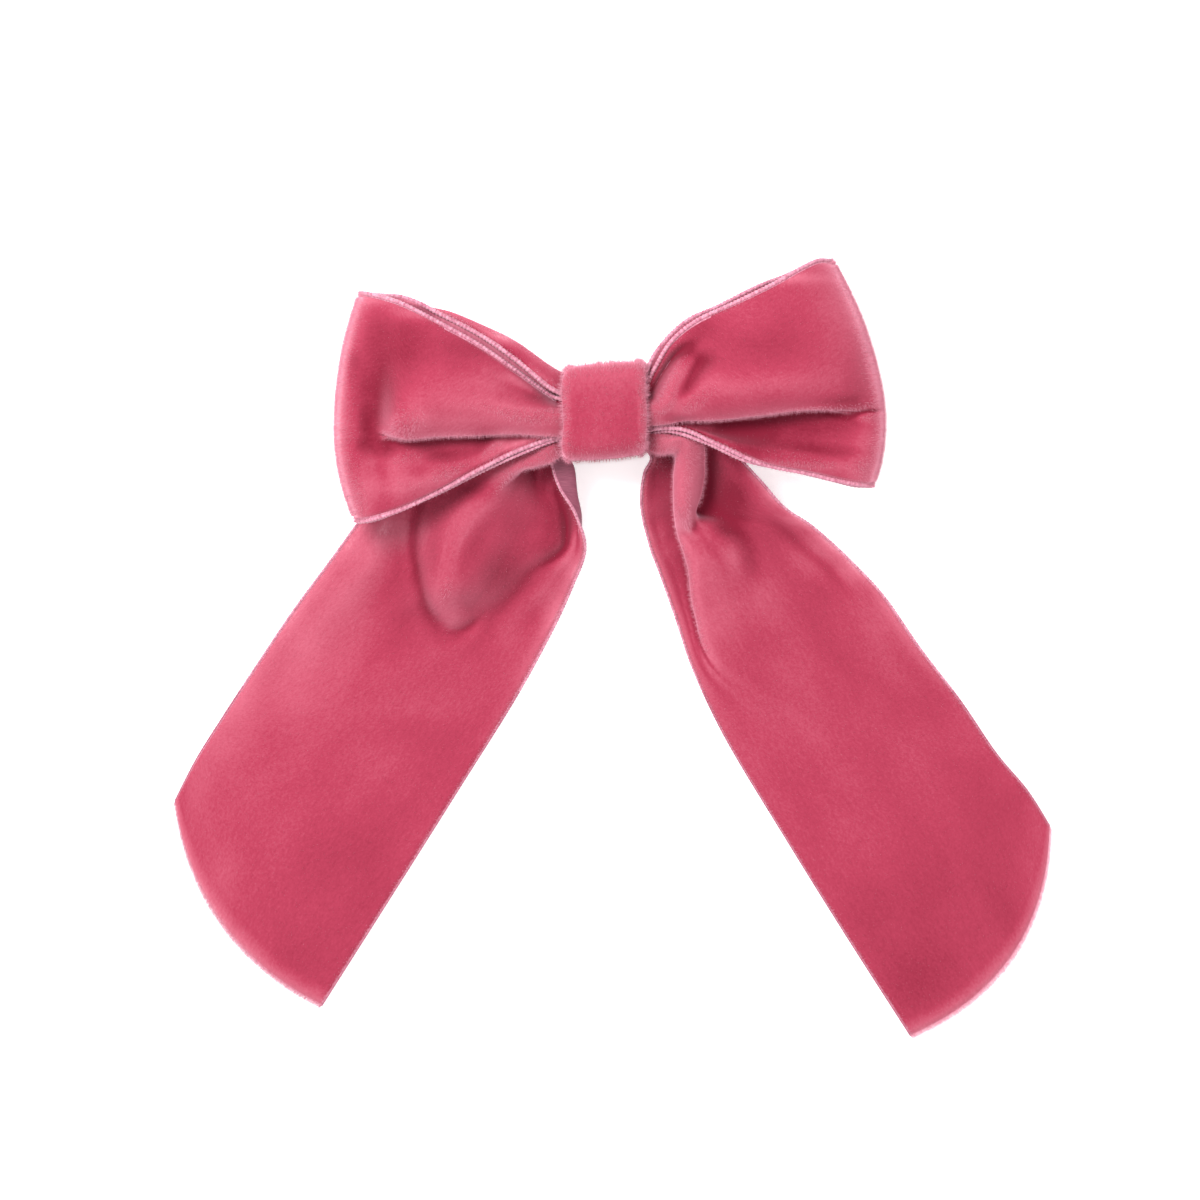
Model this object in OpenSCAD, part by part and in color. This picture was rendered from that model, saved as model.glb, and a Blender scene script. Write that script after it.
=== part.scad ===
// Velvet bow barrette lying on its back: the bow faces +Z, the hair clip is underneath.
// The origin is the middle of the clasp arm's flat underside. +X runs along the clip towards
// its latch, and -Y is the way the two ribbon tails hang.

/* [Ribbon] */
// Width of the velvet ribbon of the loops and tails
ribbon_w = 38; // [36:0.5:40]
// Thickness of one layer of ribbon, pile included
ribbon_t = 1; // [0.8:0.1:1.2]
// Distance from the waist to the outer fold of a loop
loop_reach = 44; // [42:0.5:46]
// Height of the front layer's crown above the arm's underside
loop_crown_z = 24.4; // [23:0.1:25]
// How far the right loop's outer end is lifted towards +Y
right_loop_lift = 6.2; // [4:0.2:7]
// How far the outer fold of a loop bows outwards in its middle
fold_bow = 4; // [2:0.5:5]
// How far the curved cut of a tail stands out past its corners
cut_bow = 4.9; // [3:0.1:6]

/* [Centre wrap] */
// Width of the wrap along the clip
wrap_w = 15.7; // [14:0.1:16.5]
// Thickness of the wrap, a narrow ribbon folded lengthwise
wrap_t = 1.6; // [1.2:0.1:1.8]
// Half width across the clip of the gathered ribbons inside the lashing
waist_half_y = 5.3; // [5:0.1:5.6]

/* [Clip] */
// Length of the base plate
plate_l = 60; // [56:1:64]
// Width of the base plate
plate_w = 9; // [8:0.5:9.5]
// Height of the base plate's arch over its length
plate_sag = 4; // [3.5:0.1:4.5]
// Height of the arch's underside at the middle
plate_z = 10.6; // [10.4:0.1:11]
// Thickness of the plate, ears and clasp arm
sheet_t = 0.6; // [0.5:0.05:0.7]
// Half width of the clasp arm
arm_half_w = 3.5; // [3.2:0.1:3.6]
// Thickness of the clasp arm's strip
arm_t = 0.8; // [0.6:0.1:1]
// Height of the top of the tension bar's arch
bar_z = 4.6; // [4:0.1:4.7]
// Radius of the tension bar's arch
bar_r = 150; // [120:5:200]
// Radius of the hinge rivet
rivet_r = 0.8; // [0.7:0.05:0.9]
// Radial clearance of everything that turns on a pin
run = 0.05; // [0.02:0.01:0.08]
// Height of the hinge rivet's axis
hinge_z = 4.2; // [4:0.1:4.4]

/* [Latch] */
// Thickness of a latch prong
prong_t = 0.35; // [0.3:0.05:0.4]
// Width of a latch prong along the clip
prong_w = 3.6; // [3:0.1:3.8]
// Distance of each prong from the clip's middle
prong_y = 2.2; // [2:0.1:2.3]
// Height of the prongs' pivots
prong_z = 5.5; // [5.4:0.05:5.6]
// Half width of the slot in the clasp arm's end
slot_half_w = 2.85; // [2.8:0.05:3]

/* [Hidden] */
$fn = 72;
VELVET = [0.80, 0.33, 0.44];
THREAD = [0.62, 0.22, 0.31];
STEEL = [0.80, 0.80, 0.81];
SPRING_STEEL = [0.68, 0.69, 0.71];

far = 20;                                   // cutting solids reach this far past what they cut
plate_r = (pow(plate_l / 2, 2) + pow(plate_sag, 2)) / (2 * plate_sag);
arch_c = plate_z - plate_r;                 // height of the plate arch's centre
plate_top = plate_z + sheet_t;
hinge_x = -plate_l / 2;
hole_x = 20;                                // the plate's sewing holes
hole_y = 2.2;
hole_r = 0.7;

// The gathered ribbons inside the lashing, from the plate upwards
pinch_gap = 0.1;                            // between one gathered ribbon and the next
thread_d = 0.7;
tail_z0 = plate_top + thread_d + pinch_gap;
tail_pinch = 2.5;                           // gathered thickness of the tail ribbon
back_pinch = 2.2;                           // and of a loop's back and front layers
front_pinch = 3.2;
back_z0 = tail_z0 + tail_pinch + pinch_gap;
front_z0 = back_z0 + back_pinch + pinch_gap;
waist_top = front_z0 + front_pinch;
waist_half_x = 6.5;
wrap_half_y = waist_half_y + thread_d + 0.15 + wrap_t;
wrap_z0 = plate_z - 0.35 - 1.1;             // the wrap passes under the arched plate
wrap_z1 = waist_top + thread_d + 0.15 + wrap_t;

// One loop, from the waist along its front layer, round the outer fold and back:
// [distance from the waist, height, half width, thickness]
half_w = ribbon_w / 2 - 0.4;
LOOP = [
    [-1, front_z0 + front_pinch / 2, waist_half_y - 0.1, front_pinch],
    [6, front_z0 + front_pinch / 2 + 0.1, waist_half_y - 0.1, front_pinch - 0.4],
    [13, loop_crown_z - 3.1, 6.6, 1.6],
    [21, loop_crown_z - 0.7, 10.8, ribbon_t],
    [30, loop_crown_z - 1, 15.6, ribbon_t],
    [38, loop_crown_z - 3.8, half_w - 0.5, ribbon_t],
    [42.8, loop_crown_z - 7.6, half_w, ribbon_t],
    [44, loop_crown_z - 10.2, half_w, ribbon_t],
    [42, loop_crown_z - 12.6, half_w, ribbon_t],
    [34, loop_crown_z - 13.5, half_w - 1.6, ribbon_t],
    [22, loop_crown_z - 12.1, 11.4, ribbon_t],
    [13, loop_crown_z - 10, 6.8, 1.3],
    [6, back_z0 + back_pinch / 2, waist_half_y - 0.1, back_pinch - 0.3],
    [-1, back_z0 + back_pinch / 2, waist_half_y - 0.1, back_pinch]
];
LOOP_STEPS = 4;                             // rings between two stations
TAIL_STEPS = 4;
ACROSS = 6;                                 // cells across the ribbon

// The tails, station by station from the waist to the cut:
// [left edge, right edge, thickness]
tail_z = tail_z0 + tail_pinch / 2;
flat_z = ribbon_t / 2;
TAIL_LEFT = [
    [[-5.5, -0.2, tail_z], [-5.5, -4.8, tail_z], tail_pinch - 0.2],
    [[-15, -1.5, 11.7], [-10.5, -6.4, 11.9], 1.3],
    [[-27, -6.6, 9.2], [-8.6, -12, 9.2], ribbon_t],
    [[-39.5, -17.9, 5], [-4.2, -19.5, 5.6], ribbon_t],
    [[-48.5, -30, 2.2], [-5.2, -29.5, 2], ribbon_t],
    [[-57.8, -43.4, 0.8], [-14, -47, 0.8], ribbon_t],
    [[-64.5, -53.8, flat_z], [-29, -70.5, flat_z], ribbon_t],
    [[-70.4, -63.6, flat_z], [-46.2, -97.6, flat_z], ribbon_t]
];
TAIL_RIGHT = [
    [[5.5, -4.8, tail_z], [5.5, -0.2, tail_z], tail_pinch - 0.2],
    [[10.5, -6.4, 11.9], [15, -2, 11.7], 1.3],
    [[8, -13.5, 9.2], [26, -11.5, 8.8], ribbon_t],
    [[7.4, -21.5, 5.6], [35.5, -19.8, 5], ribbon_t],
    [[11, -32, 2], [45.4, -29.5, 2.2], ribbon_t],
    [[18, -49.6, 0.8], [54.5, -42.2, 0.8], ribbon_t],
    [[32.8, -73.7, flat_z], [64.5, -57.5, flat_z], ribbon_t],
    [[50.8, -102.7, flat_z], [73, -68.5, flat_z], ribbon_t]
];

// The clasp arm and latch
arm_end_x = 31.5;
frame_x = 23.5;                             // where the arm's latch frame starts
frame_z = 3.4;
frame_half_w = 4.2;
step_x = 19;                                // where the strip starts to step up to the frame
slot_x0 = 25.2;
slot_x1 = 29.6;
prong_x = (slot_x0 + slot_x1) / 2;
prong_pin_r = 0.45;
prong_foot_z = 0.5;
hook_out = slot_half_w - run - prong_y - prong_t / 2;
latch_x0 = 22.8;
latch_x1 = 29.6;
latch_half_w = 3.3;
latch_rivet_x = 24.2;
latch_rivet_r = 1;
latch_t = 0.65;
bar_x = -6;                                 // the crown of the tension bar
bar_end_x = 16;
bar_t = 0.4;
bar_half_w = 2.6;
eye_r = 1.6;

function unit(v) = v / norm(v);
function clamp01(t) = min(1, max(0, t));
function smooth(t) = t * t * (3 - 2 * t);
// A smooth curve through every row of a table: u counts rows from its start
function spline(rows, u) =
    let (last = len(rows) - 1, i = min(floor(u), last - 1), t = u - i,
         a = rows[max(i - 1, 0)], b = rows[i], c = rows[i + 1], d = rows[min(i + 2, last)])
    0.5 * (2 * b + (c - a) * t + (2 * a - 5 * b + 4 * c - d) * t * t
           + (3 * b - a - 3 * c + d) * t * t * t);

// A closed sheet: grid is a list of rows of points, and thick is its thickness at each row
module sheet(grid, thick) {
    n = len(grid);
    m = len(grid[0]);
    side = [for (i = [0:n - 1]) [for (j = [0:m - 1])
        unit(cross(grid[min(i + 1, n - 1)][j] - grid[max(i - 1, 0)][j],
                   grid[i][min(j + 1, m - 1)] - grid[i][max(j - 1, 0)])) * thick[i] / 2]];
    points = [for (s = [1, -1]) for (i = [0:n - 1]) for (j = [0:m - 1]) grid[i][j] + side[i][j] * s];
    rim = concat([for (j = [0:m - 2]) j], [for (i = [0:n - 2]) i * m + m - 1],
                 [for (j = [m - 1:-1:1]) (n - 1) * m + j], [for (i = [n - 1:-1:1]) i * m]);
    under = n * m;
    cells = [for (i = [0:n - 2]) for (j = [0:m - 2]) i * m + j];
    faces = concat(
        [for (k = cells) [k, k + 1, k + m]], [for (k = cells) [k + 1, k + m + 1, k + m]],
        [for (k = cells) [under + k, under + k + m, under + k + 1]],
        [for (k = cells) [under + k + 1, under + k + m, under + k + m + 1]],
        [for (k = [0:len(rim) - 1]) let (a = rim[k], b = rim[(k + 1) % len(rim)]) [a, under + a, b]],
        [for (k = [0:len(rim) - 1]) let (a = rim[k], b = rim[(k + 1) % len(rim)])
            [b, under + a, under + b]]);
    polyhedron(points, faces, convexity = 6);
}

// A loop towards +X whose outer end is lifted by lift and leans by lean
module loop(lift, lean) {
    rows = [for (k = [0:LOOP_STEPS * (len(LOOP) - 1)]) spline(LOOP, k / LOOP_STEPS)];
    grid = [for (r = rows)
        let (out = clamp01((r[0] - 5) / (loop_reach - 5)), rise = lift * smooth(clamp01(out * 2)))
        [for (j = [0:ACROSS])
            let (v = 2 * j / ACROSS - 1)
            [r[0] * loop_reach / 44 - fold_bow * out * out * v * v - lean * out * out * v,
             rise + v * r[2], r[1]]]];
    sheet(grid, [for (r = rows) r[3]]);
}

// A tail from its table of stations, with its end cut on a curve
module tail(rows) {
    last = len(rows) - 1;
    steps = TAIL_STEPS * last;
    lefts = [for (r = rows) r[0]];
    rights = [for (r = rows) r[1]];
    end = unit((lefts[last] + rights[last]) / 2 - (lefts[last - 1] + rights[last - 1]) / 2);
    grid = [for (k = [0:steps])
        let (u = k / TAIL_STEPS, a = spline(lefts, u), b = spline(rights, u))
        [for (j = [0:ACROSS])
            let (v = j / ACROSS)
            a * (1 - v) + b * v + end * cut_bow * 4 * v * (1 - v) * pow(u / last, 4)]];
    sheet(grid, [for (k = [0:steps]) spline([for (r = rows) r[2]], k / TAIL_STEPS)]);
}

// A rounded rectangle between two heights, as a 2D outline with its middle on the Z axis
module rounded(half, z0, z1, r) {
    translate([-half + r, z0])
        square([2 * (half - r), z1 - z0]);
    translate([-half, z0 + r])
        square([2 * half, z1 - z0 - 2 * r]);
    for (s = [-1, 1])
        for (z = [z0 + r, z1 - r])
            translate([s * (half - r), z])
                circle(r);
}

// Extrudes a YZ outline along X from x0 to x1
module along_x(x0, x1) {
    translate([x0, 0, 0])
        rotate([90, 0, 90])
            linear_extrude(x1 - x0)
                children();
}

// Extrudes an XZ outline along Y, centred
module along_y(w) {
    rotate([90, 0, 0])
        linear_extrude(w, center = true)
            children();
}

// Places children on the plate's arch at x, with Z along the arch's own radius
module on_arch(x) {
    translate([0, 0, arch_c])
        rotate([0, asin(x / plate_r), 0])
            children();
}

module pin_y(x, z, r, w) {
    translate([x, 0, z])
        rotate([90, 0, 0])
            cylinder(r = r, h = w, center = true);
}

// A strip that follows the plate's arch, between two radii and two places along the clip
module arch(r0, r1, x0, x1, w) {
    intersection() {
        difference() {
            pin_y(0, arch_c, r1, w);
            pin_y(0, arch_c, r0, w + 1);
        }
        translate([x0, -w, 0])
            cube([x1 - x0, 2 * w, plate_top + far]);
    }
}

module loop_ribbon() {
    color(VELVET) {
        loop(right_loop_lift, 3.4);
        mirror([1, 0, 0])
            loop(0.4, -0.2);
    }
}

module tail_ribbon() {
    color(VELVET) {
        translate([-waist_half_x, -waist_half_y + 0.1, tail_z0])
            cube([2 * waist_half_x, 2 * waist_half_y - 0.2, tail_pinch]);
        tail(TAIL_LEFT);
        tail(TAIL_RIGHT);
    }
}

module centre_wrap() {
    color(VELVET)
        along_x(-wrap_w / 2, wrap_w / 2)
            difference() {
                rounded(wrap_half_y, wrap_z0, wrap_z1, 3.2);
                rounded(wrap_half_y - wrap_t, wrap_z0 + 1.1, wrap_z1 - wrap_t, 1);
            }
}

module waist_thread() {
    turns = 4;
    color(THREAD)
        for (k = [0:turns - 1])
            translate([(k - (turns - 1) / 2) * thread_d, 0, 0])
                along_x(-thread_d / 2, thread_d / 2)
                    difference() {
                        rounded(waist_half_y + thread_d, plate_top + 0.05,
                                waist_top + thread_d, 0.7);
                        rounded(waist_half_y, plate_top + 0.05 + thread_d, waist_top + 0.05, 0.1);
                    }
}

// A stitch: two legs through the plate's holes, with a bar above the ribbon and one below
module end_stitch(side) {
    leg_r = thread_d / 2;
    foot = arch_c + sqrt(pow(plate_r, 2) - pow(hole_x, 2)) - leg_r;
    head = loop_crown_z - 11;
    color(THREAD)
        translate([side * hole_x, 0, 0]) {
            for (s = [-1, 1])
                translate([0, s * hole_y, foot])
                    cylinder(r = leg_r, h = head - foot);
            for (z = [foot, head])
                translate([0, 0, z])
                    rotate([90, 0, 0])
                        cylinder(r = leg_r, h = 2 * hole_y, center = true);
            for (s = [-1, 1])
                for (z = [foot, head])
                    translate([0, s * hole_y, z])
                        sphere(leg_r);
        }
}

module base_plate() {
    ear_r = 2;
    end_r = plate_w;                        // the plate's ends are gently curved
    color(STEEL)
        difference() {
            union() {
                intersection() {
                    arch(plate_r, plate_r + sheet_t, -plate_l / 2, plate_l / 2, plate_w);
                    for (s = [-1, 1])
                        translate([s * (plate_l / 2 - end_r), 0, 0])
                            cylinder(r = end_r, h = far);
                }
                arch(plate_r, plate_r + sheet_t, end_r - plate_l / 2, plate_l / 2 - end_r, plate_w);
                for (s = [-1, 1])
                    translate([0, s * (plate_w - sheet_t) / 2, 0]) {
                        pin_y(hinge_x, hinge_z, ear_r, sheet_t);
                        translate([hinge_x, -sheet_t / 2, hinge_z])
                            cube([ear_r * 2.4, sheet_t, plate_z - plate_sag + 0.9 - hinge_z]);
                        translate([hinge_x - ear_r, -sheet_t / 2, hinge_z])
                            cube([2 * ear_r, sheet_t, plate_z - plate_sag + 0.1 - hinge_z]);
                    }
            }
            pin_y(hinge_x, hinge_z, rivet_r, plate_w + 1);
            for (s = [-1, 1])
                for (y = [-hole_y, hole_y])
                    translate([s * hole_x, y, 0])
                        cylinder(r = hole_r, h = far);
            on_arch(latch_rivet_x)
                cylinder(r = latch_rivet_r, h = plate_r + far);
        }
}

module hinge_rivet() {
    head_t = 0.6;
    color(STEEL) {
        pin_y(hinge_x, hinge_z, rivet_r, plate_w + 0.2);
        for (s = [-1, 1])
            translate([hinge_x, s * plate_w / 2, hinge_z])
                rotate([-90 * s, 0, 0])
                    cylinder(r1 = 1.5, r2 = 1, h = head_t);
    }
}

module clasp_arm() {
    ear_r = 1.7;
    flange_z = 1.6;
    color(STEEL)
        difference() {
            union() {
                // The strip, its step up and the latch frame
                along_y(2 * arm_half_w)
                    polygon([[hinge_x, 0], [step_x, 0], [frame_x, frame_z],
                             [frame_x + 1, frame_z], [frame_x + 1, frame_z + arm_t],
                             [frame_x - 0.4, frame_z + arm_t], [step_x - 0.4, arm_t],
                             [hinge_x, arm_t]]);
                translate([frame_x, -frame_half_w, frame_z])
                    cube([arm_end_x - frame_x, 2 * frame_half_w, arm_t]);
                // Stiffening flanges, and the ears that turn on the rivet
                for (s = [-1, 1])
                    translate([0, s * (arm_half_w - sheet_t / 2), 0]) {
                        translate([hinge_x, -sheet_t / 2, 0])
                            cube([step_x - hinge_x, sheet_t, flange_z]);
                        translate([hinge_x - ear_r, -sheet_t / 2, 0])
                            cube([2 * ear_r, sheet_t, hinge_z]);
                        pin_y(hinge_x, hinge_z, ear_r, sheet_t);
                    }
            }
            pin_y(hinge_x, hinge_z, rivet_r + run, plate_w);
            translate([slot_x0, -slot_half_w, 0])
                cube([slot_x1 - slot_x0, 2 * slot_half_w, far]);
        }
}

module tension_bar() {
    color(SPRING_STEEL)
        difference() {
            union() {
                intersection() {
                    difference() {
                        pin_y(bar_x, bar_z - bar_r, bar_r, 2 * bar_half_w);
                        pin_y(bar_x, bar_z - bar_r, bar_r - bar_t, 2 * bar_half_w + 1);
                    }
                    translate([hinge_x, -bar_half_w, 0])
                        cube([bar_end_x - hinge_x, 2 * bar_half_w, far]);
                }
                pin_y(hinge_x, hinge_z, eye_r, 2 * bar_half_w);
            }
            pin_y(hinge_x, hinge_z, rivet_r + run, plate_w);
        }
}

// Riveted under the plate's end, with two open curls that the prongs turn in
module latch_base() {
    curl_r = 0.95;
    mouth = 0.75;
    color(SPRING_STEEL)
        difference() {
            union() {
                arch(plate_r - latch_t, plate_r, latch_x0, latch_x1, 2 * latch_half_w);
                for (s = [-1, 1])
                    translate([prong_x - prong_w / 2, s * prong_y, prong_z]) {
                        rotate([0, 90, 0])
                            cylinder(r = curl_r, h = prong_w);
                        translate([0, -curl_r, 0])
                            cube([prong_w, 2 * curl_r, 1]);
                    }
            }
            for (s = [-1, 1])
                translate([prong_x - prong_w, s * prong_y, prong_z]) {
                    rotate([0, 90, 0])
                        cylinder(r = prong_pin_r + run, h = 2 * prong_w);
                    translate([0, -mouth / 2, -2])
                        cube([2 * prong_w, mouth, 2]);
                }
            on_arch(latch_rivet_x)
                cylinder(r = latch_rivet_r, h = plate_r + far);
        }
}

module latch_rivet() {
    head_t = 0.4;
    head_r = 1.5;
    foot_r = plate_r - latch_t - 0.02;      // the rivet's two heads sit here, as radii of the arch
    top_r = plate_r + sheet_t;
    color(STEEL)
        on_arch(latch_rivet_x) {
            translate([0, 0, foot_r])
                cylinder(r = latch_rivet_r, h = top_r - foot_r);
            translate([0, 0, top_r])
                cylinder(r1 = head_r, r2 = latch_rivet_r, h = head_t);
            translate([0, 0, foot_r - head_t])
                cylinder(r1 = latch_rivet_r, r2 = head_r, h = head_t);
        }
}

// A prong with its hook under the arm's frame and its squeezing tab below that
module latch_prong(side) {
    inner = -prong_t / 2;
    outer = prong_t / 2;
    hook_z = frame_z - 0.1;
    color(SPRING_STEEL)
        translate([prong_x - prong_w / 2, side * prong_y, 0]) {
            mirror([0, side < 0 ? 1 : 0, 0])
                rotate([90, 0, 90])
                    linear_extrude(prong_w)
                        polygon([[inner, prong_z], [outer, prong_z], [outer, hook_z],
                                 [outer + hook_out, hook_z], [outer + hook_out, hook_z - 0.4],
                                 [outer, hook_z - 1.1], [outer, prong_foot_z],
                                 [inner, prong_foot_z]]);
            translate([0, 0, prong_z])
                rotate([0, 90, 0])
                    cylinder(r = prong_pin_r, h = prong_w);
        }
}

module latch_prong_upper() { latch_prong(1); }
module latch_prong_lower() { latch_prong(-1); }
module end_stitch_left() { end_stitch(-1); }
module end_stitch_right() { end_stitch(1); }

loop_ribbon();
tail_ribbon();
centre_wrap();
waist_thread();
end_stitch_left();
end_stitch_right();
base_plate();
hinge_rivet();
clasp_arm();
tension_bar();
latch_base();
latch_rivet();
latch_prong_upper();
latch_prong_lower();
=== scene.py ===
import math

import bpy
import numpy as np
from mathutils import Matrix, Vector


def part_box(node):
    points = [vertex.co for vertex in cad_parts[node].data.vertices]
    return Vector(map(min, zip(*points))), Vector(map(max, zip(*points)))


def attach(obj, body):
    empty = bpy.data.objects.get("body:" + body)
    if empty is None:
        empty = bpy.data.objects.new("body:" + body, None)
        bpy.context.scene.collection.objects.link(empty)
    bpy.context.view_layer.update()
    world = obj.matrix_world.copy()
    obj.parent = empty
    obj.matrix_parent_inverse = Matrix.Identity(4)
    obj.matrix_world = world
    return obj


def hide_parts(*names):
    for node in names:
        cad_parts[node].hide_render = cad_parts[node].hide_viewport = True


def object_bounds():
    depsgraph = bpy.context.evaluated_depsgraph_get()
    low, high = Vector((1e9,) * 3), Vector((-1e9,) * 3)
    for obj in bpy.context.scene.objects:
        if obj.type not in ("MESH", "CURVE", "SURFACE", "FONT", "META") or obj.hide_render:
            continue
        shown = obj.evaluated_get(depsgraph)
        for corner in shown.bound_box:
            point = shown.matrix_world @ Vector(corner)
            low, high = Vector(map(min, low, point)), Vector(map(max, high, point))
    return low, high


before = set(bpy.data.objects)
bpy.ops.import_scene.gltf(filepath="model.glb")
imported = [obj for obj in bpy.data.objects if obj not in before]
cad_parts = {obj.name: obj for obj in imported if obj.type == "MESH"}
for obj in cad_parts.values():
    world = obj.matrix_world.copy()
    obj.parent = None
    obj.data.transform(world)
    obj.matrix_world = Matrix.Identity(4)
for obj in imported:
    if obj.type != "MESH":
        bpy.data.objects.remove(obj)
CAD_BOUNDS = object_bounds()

MM = 0.001
ROOT = "bow_and_plate"
rng = np.random.default_rng(7)

# The pile's tone together with painted shade and sheen, which the velvet's meshes carry as an attribute: -1
# deep,
# 0 plain, 1 pale, 2 frosted; the deep end is mostly painted shade in hollows, the pale ends mostly painted
# sheen
DEEP_AND_SHADED, FROST_AND_SHEEN = -1.0, 2.0
# How deep the weaves and twists go into their surfaces, and the lines of rolling into the metal
GRAIN_DEPTH = 0.05 * MM
ROLLING_DEPTH = 0.01 * MM


# ---------------------------------------------------------------- materials

class Nodes:
    """A material's node tree, with short calls for the nodes used here."""

    def __init__(self, name):
        self.material = bpy.data.materials.new(name)
        self.material.use_nodes = True
        self.tree = self.material.node_tree
        self.shader = self.tree.nodes["Principled BSDF"]

    def add(self, kind, inputs=None, **settings):
        node = self.tree.nodes.new("ShaderNode" + kind)
        for key, value in settings.items():
            setattr(node, key, value)
        for key, value in (inputs or {}).items():
            if isinstance(value, bpy.types.NodeSocket):
                self.tree.links.new(value, node.inputs[key])
            else:
                node.inputs[key].default_value = value
        return node

    def set(self, **values):
        for key, value in values.items():
            self.shader.inputs[key.replace("_", " ")].default_value = value

    def link(self, socket, name):
        self.tree.links.new(socket, self.shader.inputs[name])

    def strip(self, along, across):
        """The ribbon's own coordinates in millimetres, stretched by a scale each way."""
        where = self.add("Attribute", attribute_name="strip")
        return self.stretch(where.outputs["Vector"], (along, across, 1))

    def space(self):
        return self.add("TexCoord").outputs["Object"]

    def stretch(self, vector, scale):
        return self.add("VectorMath", {0: vector, 1: scale}, operation="MULTIPLY").outputs[0]

    def noise(self, vector, scale, detail=3.0, roughness=0.5):
        values = {"Vector": vector, "Scale": scale, "Detail": detail, "Roughness": roughness}
        return self.add("TexNoise", values).outputs["Fac"]

    def ramp(self, value, stops):
        ramp = self.add("ValToRGB", {"Fac": value})
        points = ramp.color_ramp.elements
        while len(points) < len(stops):
            points.new(0.5)
        for point, (place, colour) in zip(points, stops):
            point.position = place
            point.color = (*colour, 1)
        return ramp.outputs["Color"]

    def remap(self, value, start, end, new_start=0.0, new_end=1.0):
        values = {"Value": value, "From Min": start, "From Max": end,
                  "To Min": new_start, "To Max": new_end}
        return self.add("MapRange", values).outputs[0]

    def bump(self, height, depth, strength=1.0, under=None):
        values = {"Height": height, "Distance": depth, "Strength": strength}
        if under is not None:
            values["Normal"] = under
        return self.add("Bump", values).outputs["Normal"]


def velvet(name, deep, plain, pale, frost):
    """Cut pile, its colour running from deep through plain and pale to frost, picked by the pile's tone
    together with painted shade in hollows and painted sheen on bulges, turns and edges.
    """
    m = Nodes(name)
    clouds = m.noise(m.strip(0.07, 0.11), 1.0, 3, 0.5)
    grain = m.noise(m.strip(0.9, 1.6), 1.0, 3, 0.6)
    tufts = m.noise(m.strip(1, 1), 2.6, 3, 0.65)
    state = m.add("Attribute", attribute_name="nap_and_shade").outputs["Fac"]
    for noise, share in ((clouds, 0.36), (grain, 0.30), (tufts, 0.42)):
        offset = m.remap(noise, 0.0, 1.0, -share, share)
        state = m.add("Math", {0: state, 1: offset}, operation="ADD").outputs[0]
    colours = [(0.0, deep), (1 / 3, plain), (2 / 3, pale), (1.0, frost)]
    m.link(m.ramp(m.remap(state, DEEP_AND_SHADED, FROST_AND_SHEEN), colours), "Base Color")
    ribs = m.noise(m.strip(3.4, 0.25), 1.0, 2, 0.5)
    normal = m.bump(ribs, GRAIN_DEPTH, 0.3)
    m.link(m.bump(tufts, GRAIN_DEPTH, 0.4, normal), "Normal")
    m.set(Roughness=0.95, Specular_IOR_Level=0.1, Sheen_Weight=0.9, Sheen_Roughness=0.45,
          Sheen_Tint=(1.0, 0.50, 0.64, 1))
    return m.material


def satin(name, shade, light):
    """The ribbon's woven back: smooth, with fine crosswise picks."""
    m = Nodes(name)
    picks = m.noise(m.strip(4.0, 0.5), 1.0, 2, 0.55)
    m.link(m.ramp(picks, [(0.3, shade), (0.7, light)]), "Base Color")
    m.link(m.bump(picks, GRAIN_DEPTH, 0.5), "Normal")
    m.set(Roughness=0.48, Specular_IOR_Level=0.35, Sheen_Weight=0.15, Sheen_Roughness=0.3,
          Sheen_Tint=(1.0, 0.75, 0.85, 1))
    return m.material


def yarn(name, dark, pale, pitch):
    """Sewn or woven thread, its colour changing about twice in a pitch along it."""
    m = Nodes(name)
    twist = m.noise(m.strip(2.0 / pitch, 1.2), 1.0, 2, 0.5)
    m.link(m.ramp(twist, [(0.3, dark), (0.7, pale)]), "Base Color")
    m.link(m.bump(twist, GRAIN_DEPTH, 0.5), "Normal")
    m.set(Roughness=0.6, Specular_IOR_Level=0.3, Sheen_Weight=0.4, Sheen_Roughness=0.4)
    return m.material


def pile(name, colour):
    """Loose pile fibres, in one plain colour because they are thinner than any pattern."""
    m = Nodes(name)
    m.set(Base_Color=(*colour, 1), Roughness=0.7, Specular_IOR_Level=0.2, Sheen_Weight=0.6,
          Sheen_Roughness=0.4, Sheen_Tint=(1.0, 0.7, 0.8, 1))
    return m.material


def metal(name, dull, bright, grain, roughness):
    """Rolled and plated steel strip with faint rolling lines along the clip and small scuffs."""
    m = Nodes(name)
    lines = m.noise(m.stretch(m.space(), (0.06, 1, 1)), grain, 4, 0.65)
    scuffs = m.noise(m.space(), 1600, 3, 0.6)
    m.link(m.ramp(lines, [(0.25, dull), (0.75, bright)]), "Base Color")
    m.link(m.remap(scuffs, 0.3, 0.7, roughness - 0.03, roughness + 0.05), "Roughness")
    m.link(m.bump(lines, ROLLING_DEPTH, 0.3), "Normal")
    m.set(Metallic=1.0)
    return m.material


VELVET = velvet("velvet_pile", (0.150, 0.006, 0.020), (0.276, 0.026, 0.055), (0.405, 0.088, 0.132),
                (0.600, 0.270, 0.330))
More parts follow.
